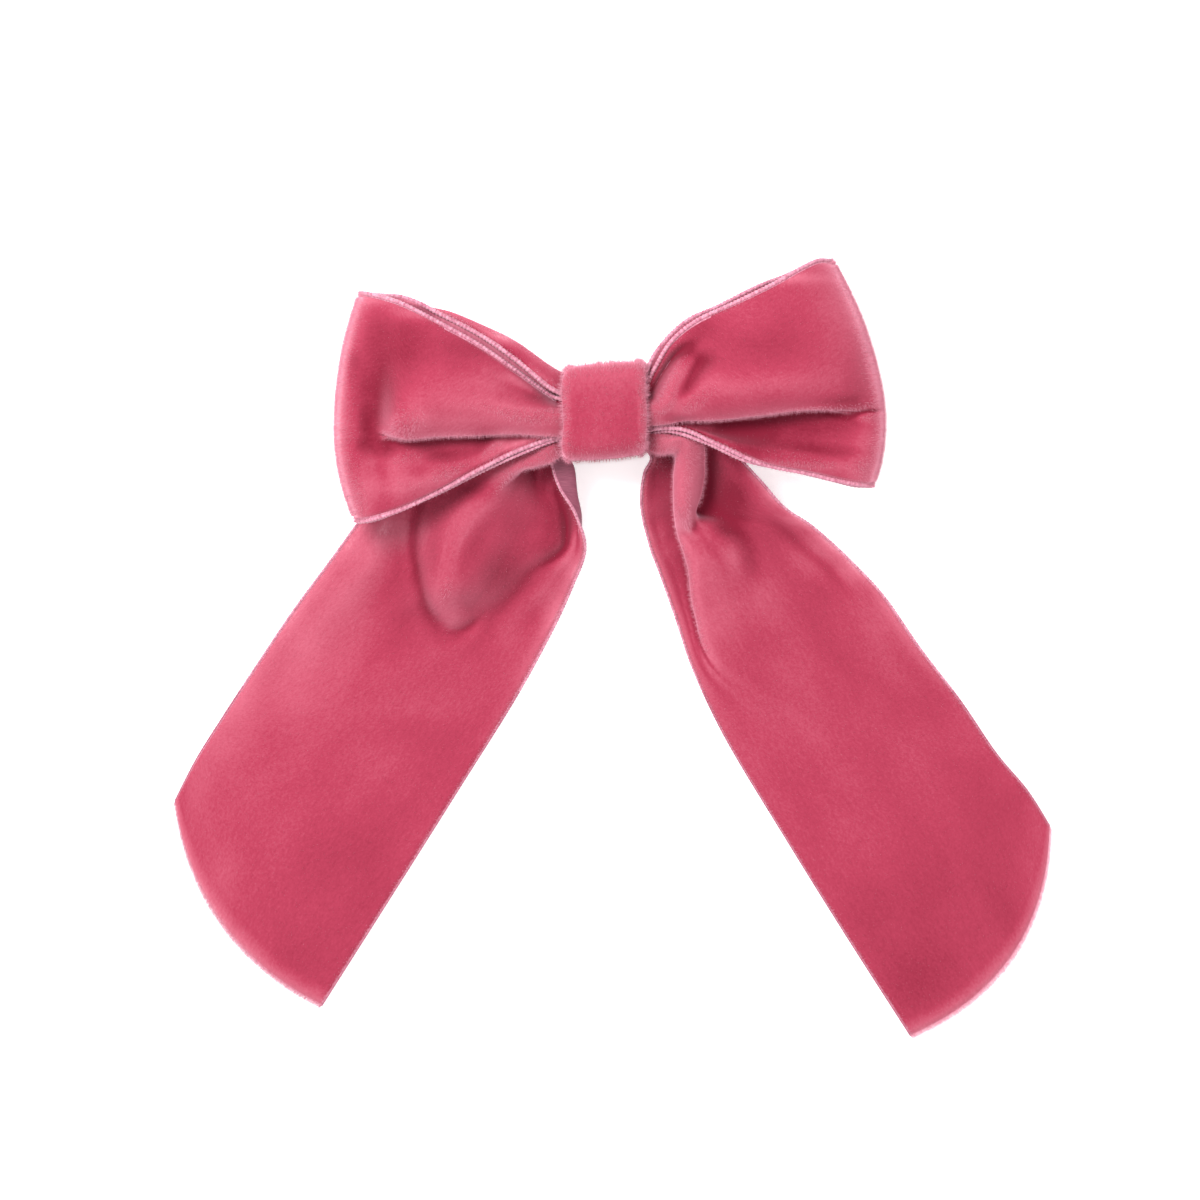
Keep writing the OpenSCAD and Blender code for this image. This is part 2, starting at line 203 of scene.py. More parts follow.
# Two copies of one satin back: a darker one, painted shade, for the tails and the wrap, and a lighter one,
# painted light, for the loops' insides
SHADED_SATIN = satin("satin_back", (0.19, 0.046, 0.080), (0.27, 0.076, 0.118))
LIT_LOOP_SATIN = satin("loop_satin_back", (0.33, 0.076, 0.120), (0.46, 0.125, 0.180))
SELVEDGE = yarn("selvedge_yarn", (0.33, 0.085, 0.140), (0.58, 0.260, 0.340), 0.8)
FLAT_SELVEDGE = yarn("flat_selvedge_yarn", (0.26, 0.050, 0.090), (0.40, 0.130, 0.190), 0.8)
THREAD = yarn("sewing_thread", (0.16, 0.014, 0.034), (0.25, 0.040, 0.072), 0.5)
PILE = pile("pile_fibre", (0.37, 0.070, 0.115))
# A paler copy of the fibres, painted sheen where they stand on folds, edges, turns and cut ends
SHEEN_PALE_PILE = pile("sheen_pale_pile_fibre", (0.60, 0.240, 0.320))
STEEL = metal("nickel_plate", (0.46, 0.45, 0.43), (0.58, 0.57, 0.55), 2600, 0.22)
SPRING = metal("spring_steel", (0.32, 0.32, 0.32), (0.44, 0.44, 0.43), 3400, 0.33)

METAL_FINISHES = {
    "base_plate": STEEL, "hinge_rivet": STEEL, "clasp_arm": STEEL, "latch_rivet": STEEL,
    "tension_bar": SPRING, "latch_base": SPRING, "latch_prong_upper": SPRING, "latch_prong_lower": SPRING,
}


def finish_metal():
    """Give the clip's pieces, which are the CAD frame's own meshes, their metal."""
    for node, finish in METAL_FINISHES.items():
        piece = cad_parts[node]
        for slot in piece.material_slots:
            slot.material = finish
        if not piece.material_slots:
            piece.data.materials.append(finish)


# ---------------------------------------------------------------- surfaces

def spline(points, steps, closed=False):
    """A Catmull-Rom curve through points along the first axis, with steps samples a stretch."""
    count = len(points)
    stretches = count if closed else count - 1
    where = np.arange(stretches * steps + (0 if closed else 1)) / steps
    start = np.minimum(where.astype(int), stretches - 1)
    t = (where - start).reshape((-1,) + (1,) * (points.ndim - 1))
    rows = [start - 1, start, start + 1, start + 2]
    rows = [r % count if closed else np.clip(r, 0, count - 1) for r in rows]
    a, b, c, d = (points[r] for r in rows)
    return 0.5 * (2 * b + (c - a) * t + (2 * a - 5 * b + 4 * c - d) * t ** 2
                  + (3 * b - a - 3 * c + d) * t ** 3)


def slopes(grid, axis, closed):
    """How the points change along an axis, right round it where it is closed. Only ways matter here."""
    if closed:
        return np.roll(grid, -1, axis) - np.roll(grid, 1, axis)
    return np.gradient(grid, axis=axis)


def unit(vectors):
    """The vectors, each made 1 long."""
    return vectors / np.maximum(np.linalg.norm(vectors, axis=-1, keepdims=True), 1e-12)


# The bow is gathered above the first of these heights in the view, and lies flat below the second
GATHERED_Y, FLAT_Y = -34, -58


def by_waist(y):
    """How much a place belongs to the bow's gathered part: 1 above GATHERED_Y, 0 below FLAT_Y."""
    return np.clip((y - FLAT_Y) / (GATHERED_Y - FLAT_Y), 0, 1)


def smooth_grid(net, along, across, closed=False):
    """A fine grid of points through a net, with so many samples a stretch along it and across it."""
    fine = spline(np.array(net, float), along, closed)
    return np.swapaxes(spline(np.swapaxes(fine, 0, 1), across), 0, 1)


SHORTEST_STEP = 0.02                        # a shorter one would make too much of a bend


class Ribbon:
    """A ribbon's middle surface, in millimetres, with its pile on the side the normals point to."""

    def __init__(self, grid, closed=False):
        self.grid = grid
        self.closed = closed
        self.pile_side = 1
        self.state = 0.0
        self.measure()

    def turn_over(self):
        """Put the pile on the other side."""
        self.pile_side = -self.pile_side
        self.measure()

    def measure(self):
        """Work out the normals, the ways along (run) and across (over), and the flat place (u, v)."""
        run = slopes(self.grid, 0, self.closed)
        over = slopes(self.grid, 1, False)
        self.normal = unit(np.cross(run, over)) * self.pile_side
        self.run = unit(run)
        self.over = unit(over)
        step = np.linalg.norm(np.diff(self.grid, axis=1), axis=2)
        self.v = np.concatenate([np.zeros((len(step), 1)), np.cumsum(step, 1)], 1)
        self.width = self.v[:, -1:]
        ahead = np.roll(self.grid, -1, 0) if self.closed else self.grid[1:]
        length = np.linalg.norm(ahead - self.grid[:len(ahead)], axis=2).mean(1)
        self.u = np.concatenate([[0], np.cumsum(length)])[:len(self.grid)]
        self.length = float(length.sum())
        self.from_edge = np.minimum(self.v, self.width - self.v)

    def bend(self):
        """How sharply the pile's side bulges, per millimetre: positive on folds, negative in hollows."""
        result = np.zeros(self.grid.shape[:2])
        for axis, closed in ((0, self.closed), (1, False)):
            turn = slopes(self.normal, axis, closed)
            step = slopes(self.grid, axis, closed)
            result += (turn * step).sum(2) / np.maximum((step ** 2).sum(2), SHORTEST_STEP ** 2)
        # Smoothed twice, because the joints between the splines show in it
        for _ in range(2):
            for axis in (0, 1):
                result = (np.roll(result, 1, axis) + 2 * result + np.roll(result, -1, axis)) / 4
        return result

    def inset(self):
        """How far each point lies inside the ribbon's outermost turn on its own side."""
        x = self.grid[..., 0]
        return np.where(x < 0, -x.min(0), x.max(0)) - np.abs(x)

    def to_end(self):
        """How far each point is from the nearer cut end."""
        return np.minimum(self.u, self.length - self.u)[:, None]

    def brush(self, strokes=(), turn_sheen=0.0, fray_and_sheen=0.0):
        """Set the pile's tone together with painted shade and sheen: darker in hollows and paler on bulges
        as the ribbon bends, then stroke by stroke. It may be paler round the outermost turns and at the cut
        ends and the edges by the waist."""
        # Painted shade in the hollows and painted sheen on the bulges, up to these limits
        state = np.clip(self.bend() * 2.2, -0.75, 0.55)
        x, y = self.grid[..., 0], self.grid[..., 1]
        # Strokes reach only the side that faces up
        facing = np.clip(self.normal[..., 2] * 3 + 0.4, 0, 1)
        # Painted sheen: paler round the outermost turns
        state = state + turn_sheen * np.exp(-(self.inset() / 0.85) ** 2)
        # Paler by the edges near the waist and at the cut ends: partly frayed tips, partly painted sheen
        at_edges = 0.6 * by_waist(y) * np.exp(-(self.from_edge / 2.0) ** 2)
        at_ends = np.exp(-(self.to_end() / 1.1) ** 2)
        state = state + fray_and_sheen * (at_edges + at_ends)
        # Strokes of painted shade and highlight, some of them brushed tone of the pile
        for middle_x, middle_y, reach_x, reach_y, amount in strokes:
            far = ((x - middle_x) / reach_x) ** 2 + ((y - middle_y) / reach_y) ** 2
            state = state + facing * amount * np.exp(-far)
        self.state = state

    def crease(self, marks):
        """Press folds into the side that faces up: each has a width and a line of (x, y, rise)."""
        facing = np.clip((self.normal[..., 2] - 0.1) / 0.4, 0, 1)
        place = self.grid[..., :2]
        rise = np.zeros(facing.shape)
        for width, line in marks:
            line = spline(np.array(line, float), 6)
            best = np.full(facing.shape, np.inf)
            height = np.zeros(facing.shape)
            for a, b in zip(line[:-1], line[1:]):
                run = (b - a)[:2]
                t = np.clip(((place - a[:2]) @ run) / (run @ run), 0, 1)
                far = ((place - a[:2] - t[..., None] * run) ** 2).sum(2)
                nearer = far < best
                best = np.where(nearer, far, best)
                height = np.where(nearer, a[2] + (b[2] - a[2]) * t, height)
            rise += height * np.exp(-best / width ** 2)
        self.grid[..., 2] += rise * facing
        self.measure()

    def face(self, height):
        """The surface at a height over the middle one, on the pile's side."""
        return self.grid + self.normal * np.broadcast_to(height, self.grid.shape[:2])[..., None]


def new_object(name, points, faces, materials, face_material=None, strip=None, nap_and_shade=None, smooth=True):
    """A mesh object from points in millimetres, with the attributes that the materials read."""
    mesh = bpy.data.meshes.new(name)
    mesh.from_pydata((np.asarray(points) * MM).tolist(), [], faces)
    for material in materials:
        mesh.materials.append(material)
    if face_material is not None:
        mesh.polygons.foreach_set("material_index", np.asarray(face_material, np.int32))
    if strip is not None:
        layer = mesh.attributes.new("strip", "FLOAT_VECTOR", "POINT")
        layer.data.foreach_set("vector", np.asarray(strip, np.float32).ravel())
    if nap_and_shade is not None:
        layer = mesh.attributes.new("nap_and_shade", "FLOAT", "POINT")
        layer.data.foreach_set("value", np.asarray(nap_and_shade, np.float32).ravel())
    mesh.polygons.foreach_set("use_smooth", [smooth] * len(mesh.polygons))
    mesh.update()
    thing = bpy.data.objects.new(name, mesh)
    bpy.context.scene.collection.objects.link(thing)
    return thing


def dress(thing, slot, *nodes):
    """Fix a piece to the bow's body, and hide the CAD nodes that it replaces; slot is not used."""
    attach(thing, ROOT)
    if nodes:
        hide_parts(*nodes)
    return thing


def cells(rows, columns, closed, offset=0, flip=False):
    """Quads of a grid of points that are numbered row by row from offset."""
    quads = []
    for i in range(rows if closed else rows - 1):
        below = (i + 1) % rows
        for j in range(columns - 1):
            quad = (i * columns + j, below * columns + j, below * columns + j + 1, i * columns + j + 1)
            quads.append([offset + k for k in (quad[::-1] if flip else quad)])
    return quads


def rim_quads(rows, columns, closed, flip):
    """Quads that join the edges of a grid of points to those of a second grid numbered after it."""
    count = rows * columns
    walls = []
    for i in range(rows if closed else rows - 1):
        below = (i + 1) % rows
        for j, turned in ((0, False), (columns - 1, True)):
            walls.append((i * columns + j, below * columns + j, turned))
    if not closed:
        for i, turned in ((0, True), (rows - 1, False)):
            for j in range(columns - 1):
                walls.append((i * columns + j, i * columns + j + 1, turned))
    rim = []
    for a, b, turned in walls:
        quad = [a, count + a, count + b, b]
        rim.append(quad[::-1] if turned != flip else quad)
    return rim


# A ribbon's heights over its middle surface: of its pile, of the pile at a woven edge, of its back
PILE_HEIGHT = 0.45
EDGE_HEIGHT = 0.10
BACKING = 0.22
# The back's pattern is taken this far from the face's
BACK_PATTERN = (0, 0, 5)
# The pile comes up to its height over so much from a border, and from a cut end
BORDER_RISE, CUT_RISE = 0.7, 0.8
# Places in a ribbon's list of materials
PILE_KIND, BACK_KIND, WOVEN_KIND = 0, 1, 2


def solid(name, ribbon, height, back_material, border=0.0):
    """A ribbon as a closed solid: pile on one face, satin on the other, and woven borders and rim."""
    rows, columns = ribbon.grid.shape[:2]
    flip = ribbon.pile_side < 0
    faces = cells(rows, columns, ribbon.closed, 0, flip)
    woven = ribbon.from_edge.ravel() < border
    kinds = [WOVEN_KIND if woven[face[0]] or woven[face[2]] else PILE_KIND for face in faces]
    back = cells(rows, columns, ribbon.closed, rows * columns, not flip)
    rim = rim_quads(rows, columns, ribbon.closed, flip)
    kinds += [BACK_KIND] * len(back) + [WOVEN_KIND] * len(rim)
    points = np.concatenate([ribbon.face(height).reshape(-1, 3), ribbon.face(-BACKING).reshape(-1, 3)])
    along = np.broadcast_to(ribbon.u[:, None], (rows, columns))
    where = np.stack([along, ribbon.v, np.zeros((rows, columns))], 2).reshape(-1, 3)
    strip = np.concatenate([where, where + BACK_PATTERN])
    nap_and_shade = np.tile(ribbon.state.ravel(), 2)
    materials = [VELVET, back_material, SELVEDGE]
    return new_object(name, points, faces + back + rim, materials, kinds, strip, nap_and_shade)


def ribbon_object(name, ribbon, back_material, cut_ends=False, border=0.22):
    """A ribbon's solid, its pile falling away to the woven borders and to any cut ends."""
    rise = np.clip((ribbon.from_edge - border) / BORDER_RISE, 0, 1)
    if cut_ends:
        rise = np.minimum(rise, np.clip(ribbon.to_end() / CUT_RISE, 0, 1))
    rise = rise * rise * (3 - 2 * rise)
    height = EDGE_HEIGHT + (PILE_HEIGHT - EDGE_HEIGHT) * rise
    return solid(name, ribbon, height, back_material, border)


# Ways that no cord and no thread runs along, from which the sides of their tubes are counted
CORD_UP = (0.13, 0.21, 0.97)
THREAD_UP = (0.31, 0.17, 0.94)
TUBE_SIDES = 7


def tube(path, radius, up, closed=False):
    """Points, faces and strip coordinates of a tube along a path; radius may vary along it."""
    sides = TUBE_SIDES
    count = len(path)
    ahead = unit(slopes(path, 0, closed))
    side = unit(np.cross(ahead, np.broadcast_to(up, path.shape)))
    top = np.cross(side, ahead)
    angle = np.arange(sides) * 2 * math.pi / sides
    ring = np.cos(angle)[None, :, None] * side[:, None] + np.sin(angle)[None, :, None] * top[:, None]
    points = path[:, None] + ring * np.broadcast_to(radius, count)[:, None, None]
    faces = []
    for i in range(count if closed else count - 1):
        below = (i + 1) % count
        for j in range(sides):
            k = (j + 1) % sides
            faces.append([i * sides + j, i * sides + k, below * sides + k, below * sides + j])
    if not closed:
        faces.append(list(range(sides))[::-1])
        faces.append([(count - 1) * sides + j for j in range(sides)])
    step = np.linalg.norm(np.diff(path, axis=0), axis=1)
    far = np.concatenate([[0], np.cumsum(step)])
    strip = np.zeros((count, sides, 3))
    strip[..., 0] = far[:, None]
    strip[..., 1] = angle[None, :] * 0.3
    return points.reshape(-1, 3), faces, strip.reshape(-1, 3)


def resample(path, pitch, closed=False):
    """The path again with its points about a pitch apart, and how far along it each one is."""
    if closed:
        path = np.concatenate([path, path[:1]])
    step = np.linalg.norm(np.diff(path, axis=0), axis=1)
    far = np.concatenate([[0], np.cumsum(step)])
    count = max(4, int(far[-1] / pitch))
    where = np.linspace(0, far[-1], count, endpoint=not closed)
    return np.stack([np.interp(where, far, path[:, k]) for k in range(3)], 1), where


SELVEDGE_PITCH = 0.62                       # from bead to bead


def selvedges(name, ribbon, thick, far_thick):
    """The woven border cords along both edges, beaded where the weft turns round them. They have one
    thickness by the waist and another far from it, where their yarn is duller too."""
    def thickness(place):
        return far_thick + (thick - far_thick) * by_waist(place[:, 1])

    parts, kinds = [], []
    for column, side in ((0, -1), (-1, 1)):
        edge = ribbon.grid[:, column]
        # The cord stands a little way out from the edge and over the middle surface
        out = ribbon.over[:, column] * side * thickness(edge)[:, None] * 0.4
        path, far = resample(edge + out + ribbon.normal[:, column] * 0.08, 0.15, ribbon.closed)
        beads = 0.72 + 0.36 * np.abs(np.sin(far * math.pi / SELVEDGE_PITCH))
        parts.append(tube(path, thickness(path) * beads, CORD_UP, ribbon.closed))
        dull = np.repeat(by_waist(path[:, 1]) < 0.5, TUBE_SIDES).astype(int).tolist()
        # An open tube has one ring of sides fewer than it has points, and a cap on each end
        kinds += dull if ribbon.closed else dull[TUBE_SIDES:] + [1, 1]
    return joined(name, parts, [SELVEDGE, FLAT_SELVEDGE], kinds)


def joined(name, parts, materials, kinds=None):
    """One object from several sets of points, faces and strip coordinates."""
    points, faces, strips, offset = [], [], [], 0
    for part_points, part_faces, part_strip in parts:
        points.append(part_points)
        strips.append(part_strip)
        faces += [[offset + k for k in face] for face in part_faces]
        offset += len(part_points)
    return new_object(name, np.concatenate(points), faces, materials, kinds, np.concatenate(strips))


ROOT_DEPTH = 0.1                            # how far a fibre's root is sunk
STRAY = 0.20                                # how far fibres stray from their way
SHORTEST, LONGER = 0.65, 0.5                # shares of the length: the least, and what chance adds


def fringe(name, patches, length=1.1, width=0.055):
    """Pile fibres as three-sided spikes. A patch is (material, points, normals, lean, density): grids
    of where they stand, which way they point and lean, and how many there are in a square millimetre."""
    roots, tips, kinds = [], [], []
    for material, points, normals, lean, density in patches:
        a, b, c = points[:-1, :-1], points[1:, :-1], points[:-1, 1:]
        area = np.linalg.norm(np.cross(b - a, c - a), axis=2)
        wanted = area * (density[:-1, :-1] + density[1:, 1:]) / 2
        count = (wanted + rng.random(wanted.shape)).astype(int)
        i, j = np.nonzero(count)
        repeat = count[i, j]
        i, j = np.repeat(i, repeat), np.repeat(j, repeat)
        s, t = rng.random((2, len(i), 1))
        corner = points[i, j]
        root = corner + (points[i + 1, j] - corner) * s + (points[i, j + 1] - corner) * t
        way = unit(normals[i, j] + lean[i, j] + rng.normal(0, STRAY, (len(i), 3)))
        reach = length * (SHORTEST + LONGER * rng.random((len(i), 1)))
        roots.append(root - way * ROOT_DEPTH)
        tips.append(root + way * (reach - ROOT_DEPTH))
        kinds.append(np.full(len(i), int(material is SHEEN_PALE_PILE)))
    root, tip = np.concatenate(roots), np.concatenate(tips)
    way = unit(tip - root)
    side = unit(np.cross(way, rng.normal(0, 1, way.shape)))
    other = np.cross(way, side)
    corners = []
    for k in range(3):
        turn = k * 2 * math.pi / 3
        corners.append(root + (side * math.cos(turn) + other * math.sin(turn)) * width / 2)
    points = np.stack(corners + [tip], 1).reshape(-1, 3)
    base = np.arange(len(root))[:, None] * 4
    faces = np.concatenate([base + (0, 1, 3), base + (1, 2, 3), base + (2, 0, 3)], 0)
    kinds = np.tile(np.concatenate(kinds), 3)
    return new_object(name, points, faces.tolist(), [PILE, SHEEN_PALE_PILE], kinds, smooth=False)


def pile_patches(ribbon, overall, folds, edges, sharp, rims=0.0, waist=0.0, cut=0.0):
    """Where a ribbon's loose fibres show: all over, on its sharp folds, along its edges, and perhaps
    round its outermost turns, beside the waist and at its cut ends. All but the first are the paler fibres,
    painted sheen."""
    x, y = ribbon.grid[..., 0], ribbon.grid[..., 1]
    bend = ribbon.bend()
    fold = np.clip((bend - sharp) / 0.25, 0, 1)
    near = np.clip(1 - np.abs(ribbon.from_edge - 0.5) / 0.5, 0, 1)
    # None stand on the woven edge, and only a quarter of them on the sides that face down
    unseen = np.clip(-ribbon.normal[..., 2] * 4 - 0.4, 0, 1)
    grown = (1 - 0.75 * unseen) * (ribbon.from_edge > 0.4)
    everywhere = overall * grown * np.clip(1 + 2 * bend, 0.3, 1)
    tufted = 1 + 0.15 * np.sin(y * 4.1 + 2 * np.sin(y * 1.7))
    pale = folds * fold * grown * np.clip(ribbon.state + 0.7, 0, 1) + edges * near
    pale = pale + rims * tufted * np.exp(-(ribbon.inset() / 0.9) ** 2)
    # Beside the waist they stand round a place to its left and right, just below the loops
    waist_x, waist_y = (np.abs(x) - 10.0) / 3.4, (y + 6.4) / 2.2
    pale = pale + waist * grown * np.exp(-waist_x ** 2 - waist_y ** 2)
    outward = np.where((ribbon.v < ribbon.width / 2)[..., None], -ribbon.over, ribbon.over)
    face = ribbon.face(EDGE_HEIGHT)
    patches = [(PILE, face, ribbon.normal, 0 * outward, everywhere),
               (SHEEN_PALE_PILE, face, ribbon.normal, outward * (1.5 * near)[..., None], pale)]
    if cut:
        for end, way in ((0, -1), (-1, 1)):
            outward = ribbon.run[end] * way
            rows = np.stack([face[end] - outward * 0.35, face[end]])
            normals = np.stack([ribbon.normal[end]] * 2)
            lean = np.stack([outward * 2.4] * 2)
            patches.append((SHEEN_PALE_PILE, rows, normals, lean, np.full(rows.shape[:2], cut)))
    return patches


# ---------------------------------------------------------------- the loops

FOLD_BOW = 4.0


def loop_rows(side, slant, middle, peak, above, below, rows):
    """Rows of a loop's net: each gives its distance from the waist, how much of the outer fold's bow
    it has, then the heights across the bow (y) and above the table (z) of its nine points, from the
    lower selvedge to the upper one. The fold stands furthest out at the peak's height, and has bowed
    in by FOLD_BOW at the distances above and below it. Slanting rows turn round the middle height."""
    net = []
    for x, bow, ys, zs in rows:
        row = []
        for y, z in zip(ys, zs):
            drop = FOLD_BOW * ((y - peak) / (above if y > peak else below)) ** 2
            row.append((side * (x - slant * (y - middle) - bow * drop), y, z))
        net.append(row)
    return net


LEFT_LOOP = loop_rows(side=-1, slant=0, middle=0.4, peak=-3, above=22.2, below=16.8, rows=[
    (4.5, 0, [-3.8, -3.6, -3.4, -2.8, -3.6, -3.2, -1, 1.1, 2.2],
     [17.3, 17, 16.6, 16.5, 17.6, 18.8, 19.7, 18.4, 18]),
    (8.2, 0, [-4.5, -4.2, -3.8, -3, -3.9, -3.7, -1.2, 0.9, 2],
     [17.6, 17.3, 16.8, 16.4, 17.6, 19.2, 20.5, 18.6, 18.9]),
    (14.6, 0, [-6.8, -5.8, -4.4, -2, -3, -3.5, -0.8, 3.4, 6.3],
     [17.9, 17.5, 16.6, 15.2, 16.8, 19.4, 22, 20.4, 19.7]),
    (20.3, 0, [-9.6, -7.9, -5.8, -1.6, -2.7, -3.7, 0.4, 6, 10.2],
     [17.4, 17.3, 16.4, 14.4, 16.8, 19.8, 23.2, 22, 20.8]),
    (27, 0.1, [-13.1, -10.6, -7.2, -1.9, -2.9, -3.9, 0.8, 8, 13.8],
     [17, 18.4, 17.4, 15.4, 17.6, 20.6, 24, 22.8, 21.8]),
    (32.6, 0.3, [-15.6, -12.2, -8.2, -3.8, -3.7, -4.3, 0.2, 8.6, 16.4],
     [17, 18.8, 18.8, 17.2, 18.8, 21.2, 23.6, 21.8, 22]),
    (36.6, 0.5, [-16.9, -13, -9.2, -6.2, -4.4, -2.6, 1.6, 9.4, 17.7],
     [17, 18, 17.8, 17, 17, 17.5, 19, 20.4, 21.2]),
    (40.8, 0.8, [-17.8, -13.3, -9.6, -6.6, -4.2, -1.6, 3, 10.4, 18.5],
     [16.4, 17.8, 18, 17.8, 17.8, 17.9, 18.4, 19.2, 19.6]),
    (42.9, 0.95, [-18, -13.5, -9.8, -6.6, -3.8, -0.8, 3.8, 10.8, 18.8],
     [15, 16, 16.4, 16.4, 16.4, 16.4, 16.6, 17.1, 17.2]),
    (43.4, 1, [-18, -13.6, -9.8, -6.2, -2.8, 0.8, 5.4, 11.8, 18.8],
     [13.6, 13.9, 14, 14, 14, 14, 14.1, 14.4, 14.6]),
    (42.5, 0.9, [-18, -13.5, -9.6, -5.8, -1.9, 2.2, 7, 13, 18.8],
     [12.1, 11.9, 11.8, 11.8, 11.8, 11.8, 11.9, 12.2, 13]),
    (39.4, 0.7, [-17.6, -13.2, -9.2, -5.2, -1, 3.2, 8, 13.8, 18.6],
     [11.6, 10.8, 10.6, 10.6, 10.6, 10.6, 10.8, 12, 15]),
    (33.4, 0.3, [-15.8, -12, -8.2, -4.4, -0.4, 4, 9.6, 16.2, 17.9],
     [15.4, 10.9, 10.6, 10.6, 10.6, 10.8, 13.8, 20.2, 21.3]),
    (27, 0.1, [-13.3, -10.4, -7.2, -3.8, -0.2, 4, 12.2, 15.8, 15.5],
     [16, 11.8, 11.2, 11.2, 11.2, 12, 19.4, 21.1, 21.5]),
    (20.3, 0, [-10, -8.1, -5.6, -3, 0, 3.6, 9.8, 13.4, 12.2],
     [16.6, 13.6, 12.3, 12.2, 12.2, 13.2, 19.2, 20.4, 20.8]),
    (14.6, 0, [-7.4, -6.2, -4.4, -2.2, 0.2, 3, 6.4, 10.7, 8.3],
     [17.2, 15.2, 13.5, 13.4, 13.4, 14, 18.2, 19.4, 20.2]),
    (8.2, 0, [-4.9, -4.6, -3.6, -1.8, 0, 1.8, 3, 6.3, 3.2],
     [17.2, 15.8, 14.7, 14.6, 14.6, 15, 16.8, 17.8, 19.4]),
    (4.5, 0, [-4.6, -4.2, -3.2, -1.6, 0, 1.8, 3.6, 4.8, 2.6],
     [15.6, 15.1, 14.9, 14.8, 14.8, 15, 15.5, 16.2, 17.4]),
])
RIGHT_LOOP = loop_rows(side=1, slant=0.187, middle=6, peak=3.5, above=21.1, below=15.5, rows=[
    (0, 0, [-3.6, -3.4, -3.2, -2.7, -3.3, -3, -1, 1, 2.4],
     [17.2, 17, 16.8, 16.7, 17.6, 18.6, 19.4, 18.8, 18.2]),
    (4.5, 0, [-3.4, -3.2, -2.9, -2, -2.5, -2.2, -0.4, 0.8, 1.6],
     [17.2, 17, 16.7, 16.6, 17.6, 18.8, 19.6, 18.4, 18.2]),
    (8.2, 0, [-3.1, -3, -2.4, -1.2, -1.9, -1.8, 0.6, 4, 6.5],
     [17.8, 17.4, 17, 16.6, 17.7, 19.3, 20.6, 18.6, 19.2]),
    (11.7, 0, [-3.5, -3.3, -2.4, -0.6, -1.2, -1.3, 1.6, 6.9, 10.8],
     [18.2, 17.6, 16.8, 15.8, 17.2, 19.6, 22, 19, 20]),
    (16.6, 0, [-5.8, -5, -3.6, 0.2, -0.6, -1.2, 2.8, 9.4, 14.2],
     [18, 17.6, 16.5, 14.8, 17.2, 20, 22.8, 21, 20.6]),
    (23.6, 0.1, [-8.8, -7.2, -4.4, 0.9, 0.2, -0.5, 3.6, 11, 17.1],
     [17.2, 18, 16.8, 14.8, 17.8, 21, 24, 22.6, 21.4]),
    (30.6, 0.2, [-10.2, -8.3, -5.2, 0.9, 0.7, 0.4, 4.6, 12.6, 20.1],
     [17, 18.2, 17.4, 16, 18.8, 21.4, 24, 22.8, 21.8]),
    (36.2, 0.4, [-11.4, -8.9, -5.8, -0.6, 0.3, 0.8, 5.8, 14, 22.6],
     [16.8, 18, 17.8, 17, 18.8, 20.8, 22.6, 22, 21.2]),
    (40.8, 0.75, [-12, -9.3, -6.2, -2.4, -0.3, 1.2, 6.6, 14.8, 24],
     [16.4, 17.6, 17.8, 17.7, 18.2, 19, 20, 20, 19.6]),
    (43.5, 0.95, [-12.2, -9.3, -6.3, -3, -0.6, 2, 7.4, 15.4, 24.1],
     [15, 15.9, 16.3, 16.4, 16.5, 16.7, 16.9, 17.3, 17.2]),
    (44.2, 1, [-12.2, -9, -5.8, -2.2, 1, 4.4, 9.4, 16.4, 24.1],
     [13.6, 13.9, 14, 14, 14, 14, 14.1, 14.4, 14.6]),
    (43.1, 0.9, [-12.2, -8.7, -5.2, -1.4, 2.4, 6.4, 11, 17.2, 24.1],
     [12.1, 11.9, 11.8, 11.8, 11.8, 11.8, 11.9, 12.2, 12.8]),
    (40, 0.7, [-12, -8.4, -4.8, -0.8, 3.2, 7.4, 12, 18, 23.9],
     [11.6, 10.8, 10.6, 10.6, 10.6, 10.6, 10.8, 11.6, 13.6]),
    (34, 0.3, [-10.9, -7.8, -4.6, -1, 2.6, 6.6, 11.2, 17.2, 21.9],
     [12.6, 10.9, 10.6, 10.6, 10.6, 10.8, 11.2, 13.4, 17.2]),
    (27.6, 0.1, [-9.6, -7.2, -4.4, -1.2, 2.2, 6, 10.6, 16.8, 19.7],
     [15.8, 11.6, 11.2, 11.2, 11.2, 11.4, 12.6, 18.2, 20.2]),
    (20.6, 0, [-8.2, -6.7, -4.4, -1.8, 1.2, 4.6, 9.4, 14.4, 16.6],
     [16.8, 13.6, 12.3, 12.2, 12.2, 12.4, 14.2, 18.4, 19.8]),
    (14.6, 0, [-5.3, -4.8, -3.7, -1.8, 0.6, 3.4, 7, 11.2, 14],
     [17.4, 15.2, 13.5, 13.4, 13.4, 13.8, 15.4, 18.4, 19.7]),
    (8.9, 0, [-3.4, -3.4, -3, -1.6, 0.2, 2.4, 4.6, 6.8, 9],
     [17.2, 15.8, 14.7, 14.6, 14.6, 15, 16, 17.9, 19.1]),
    (4.5, 0, [-4, -3.8, -3, -1.6, 0, 1.8, 3, 3.4, 2.6],
     [15.8, 15.2, 14.9, 14.8, 14.8, 15, 15.5, 16.2, 17.2]),
])
WAIST_BACK = [(0, y, z) for y, z in zip([-4.4, -4, -3.1, -1.6, 0, 1.8, 3.4, 4.4, 3.6],
                                        [15.4, 15, 14.9, 14.8, 14.8, 14.9, 15.3, 15.8, 17])]


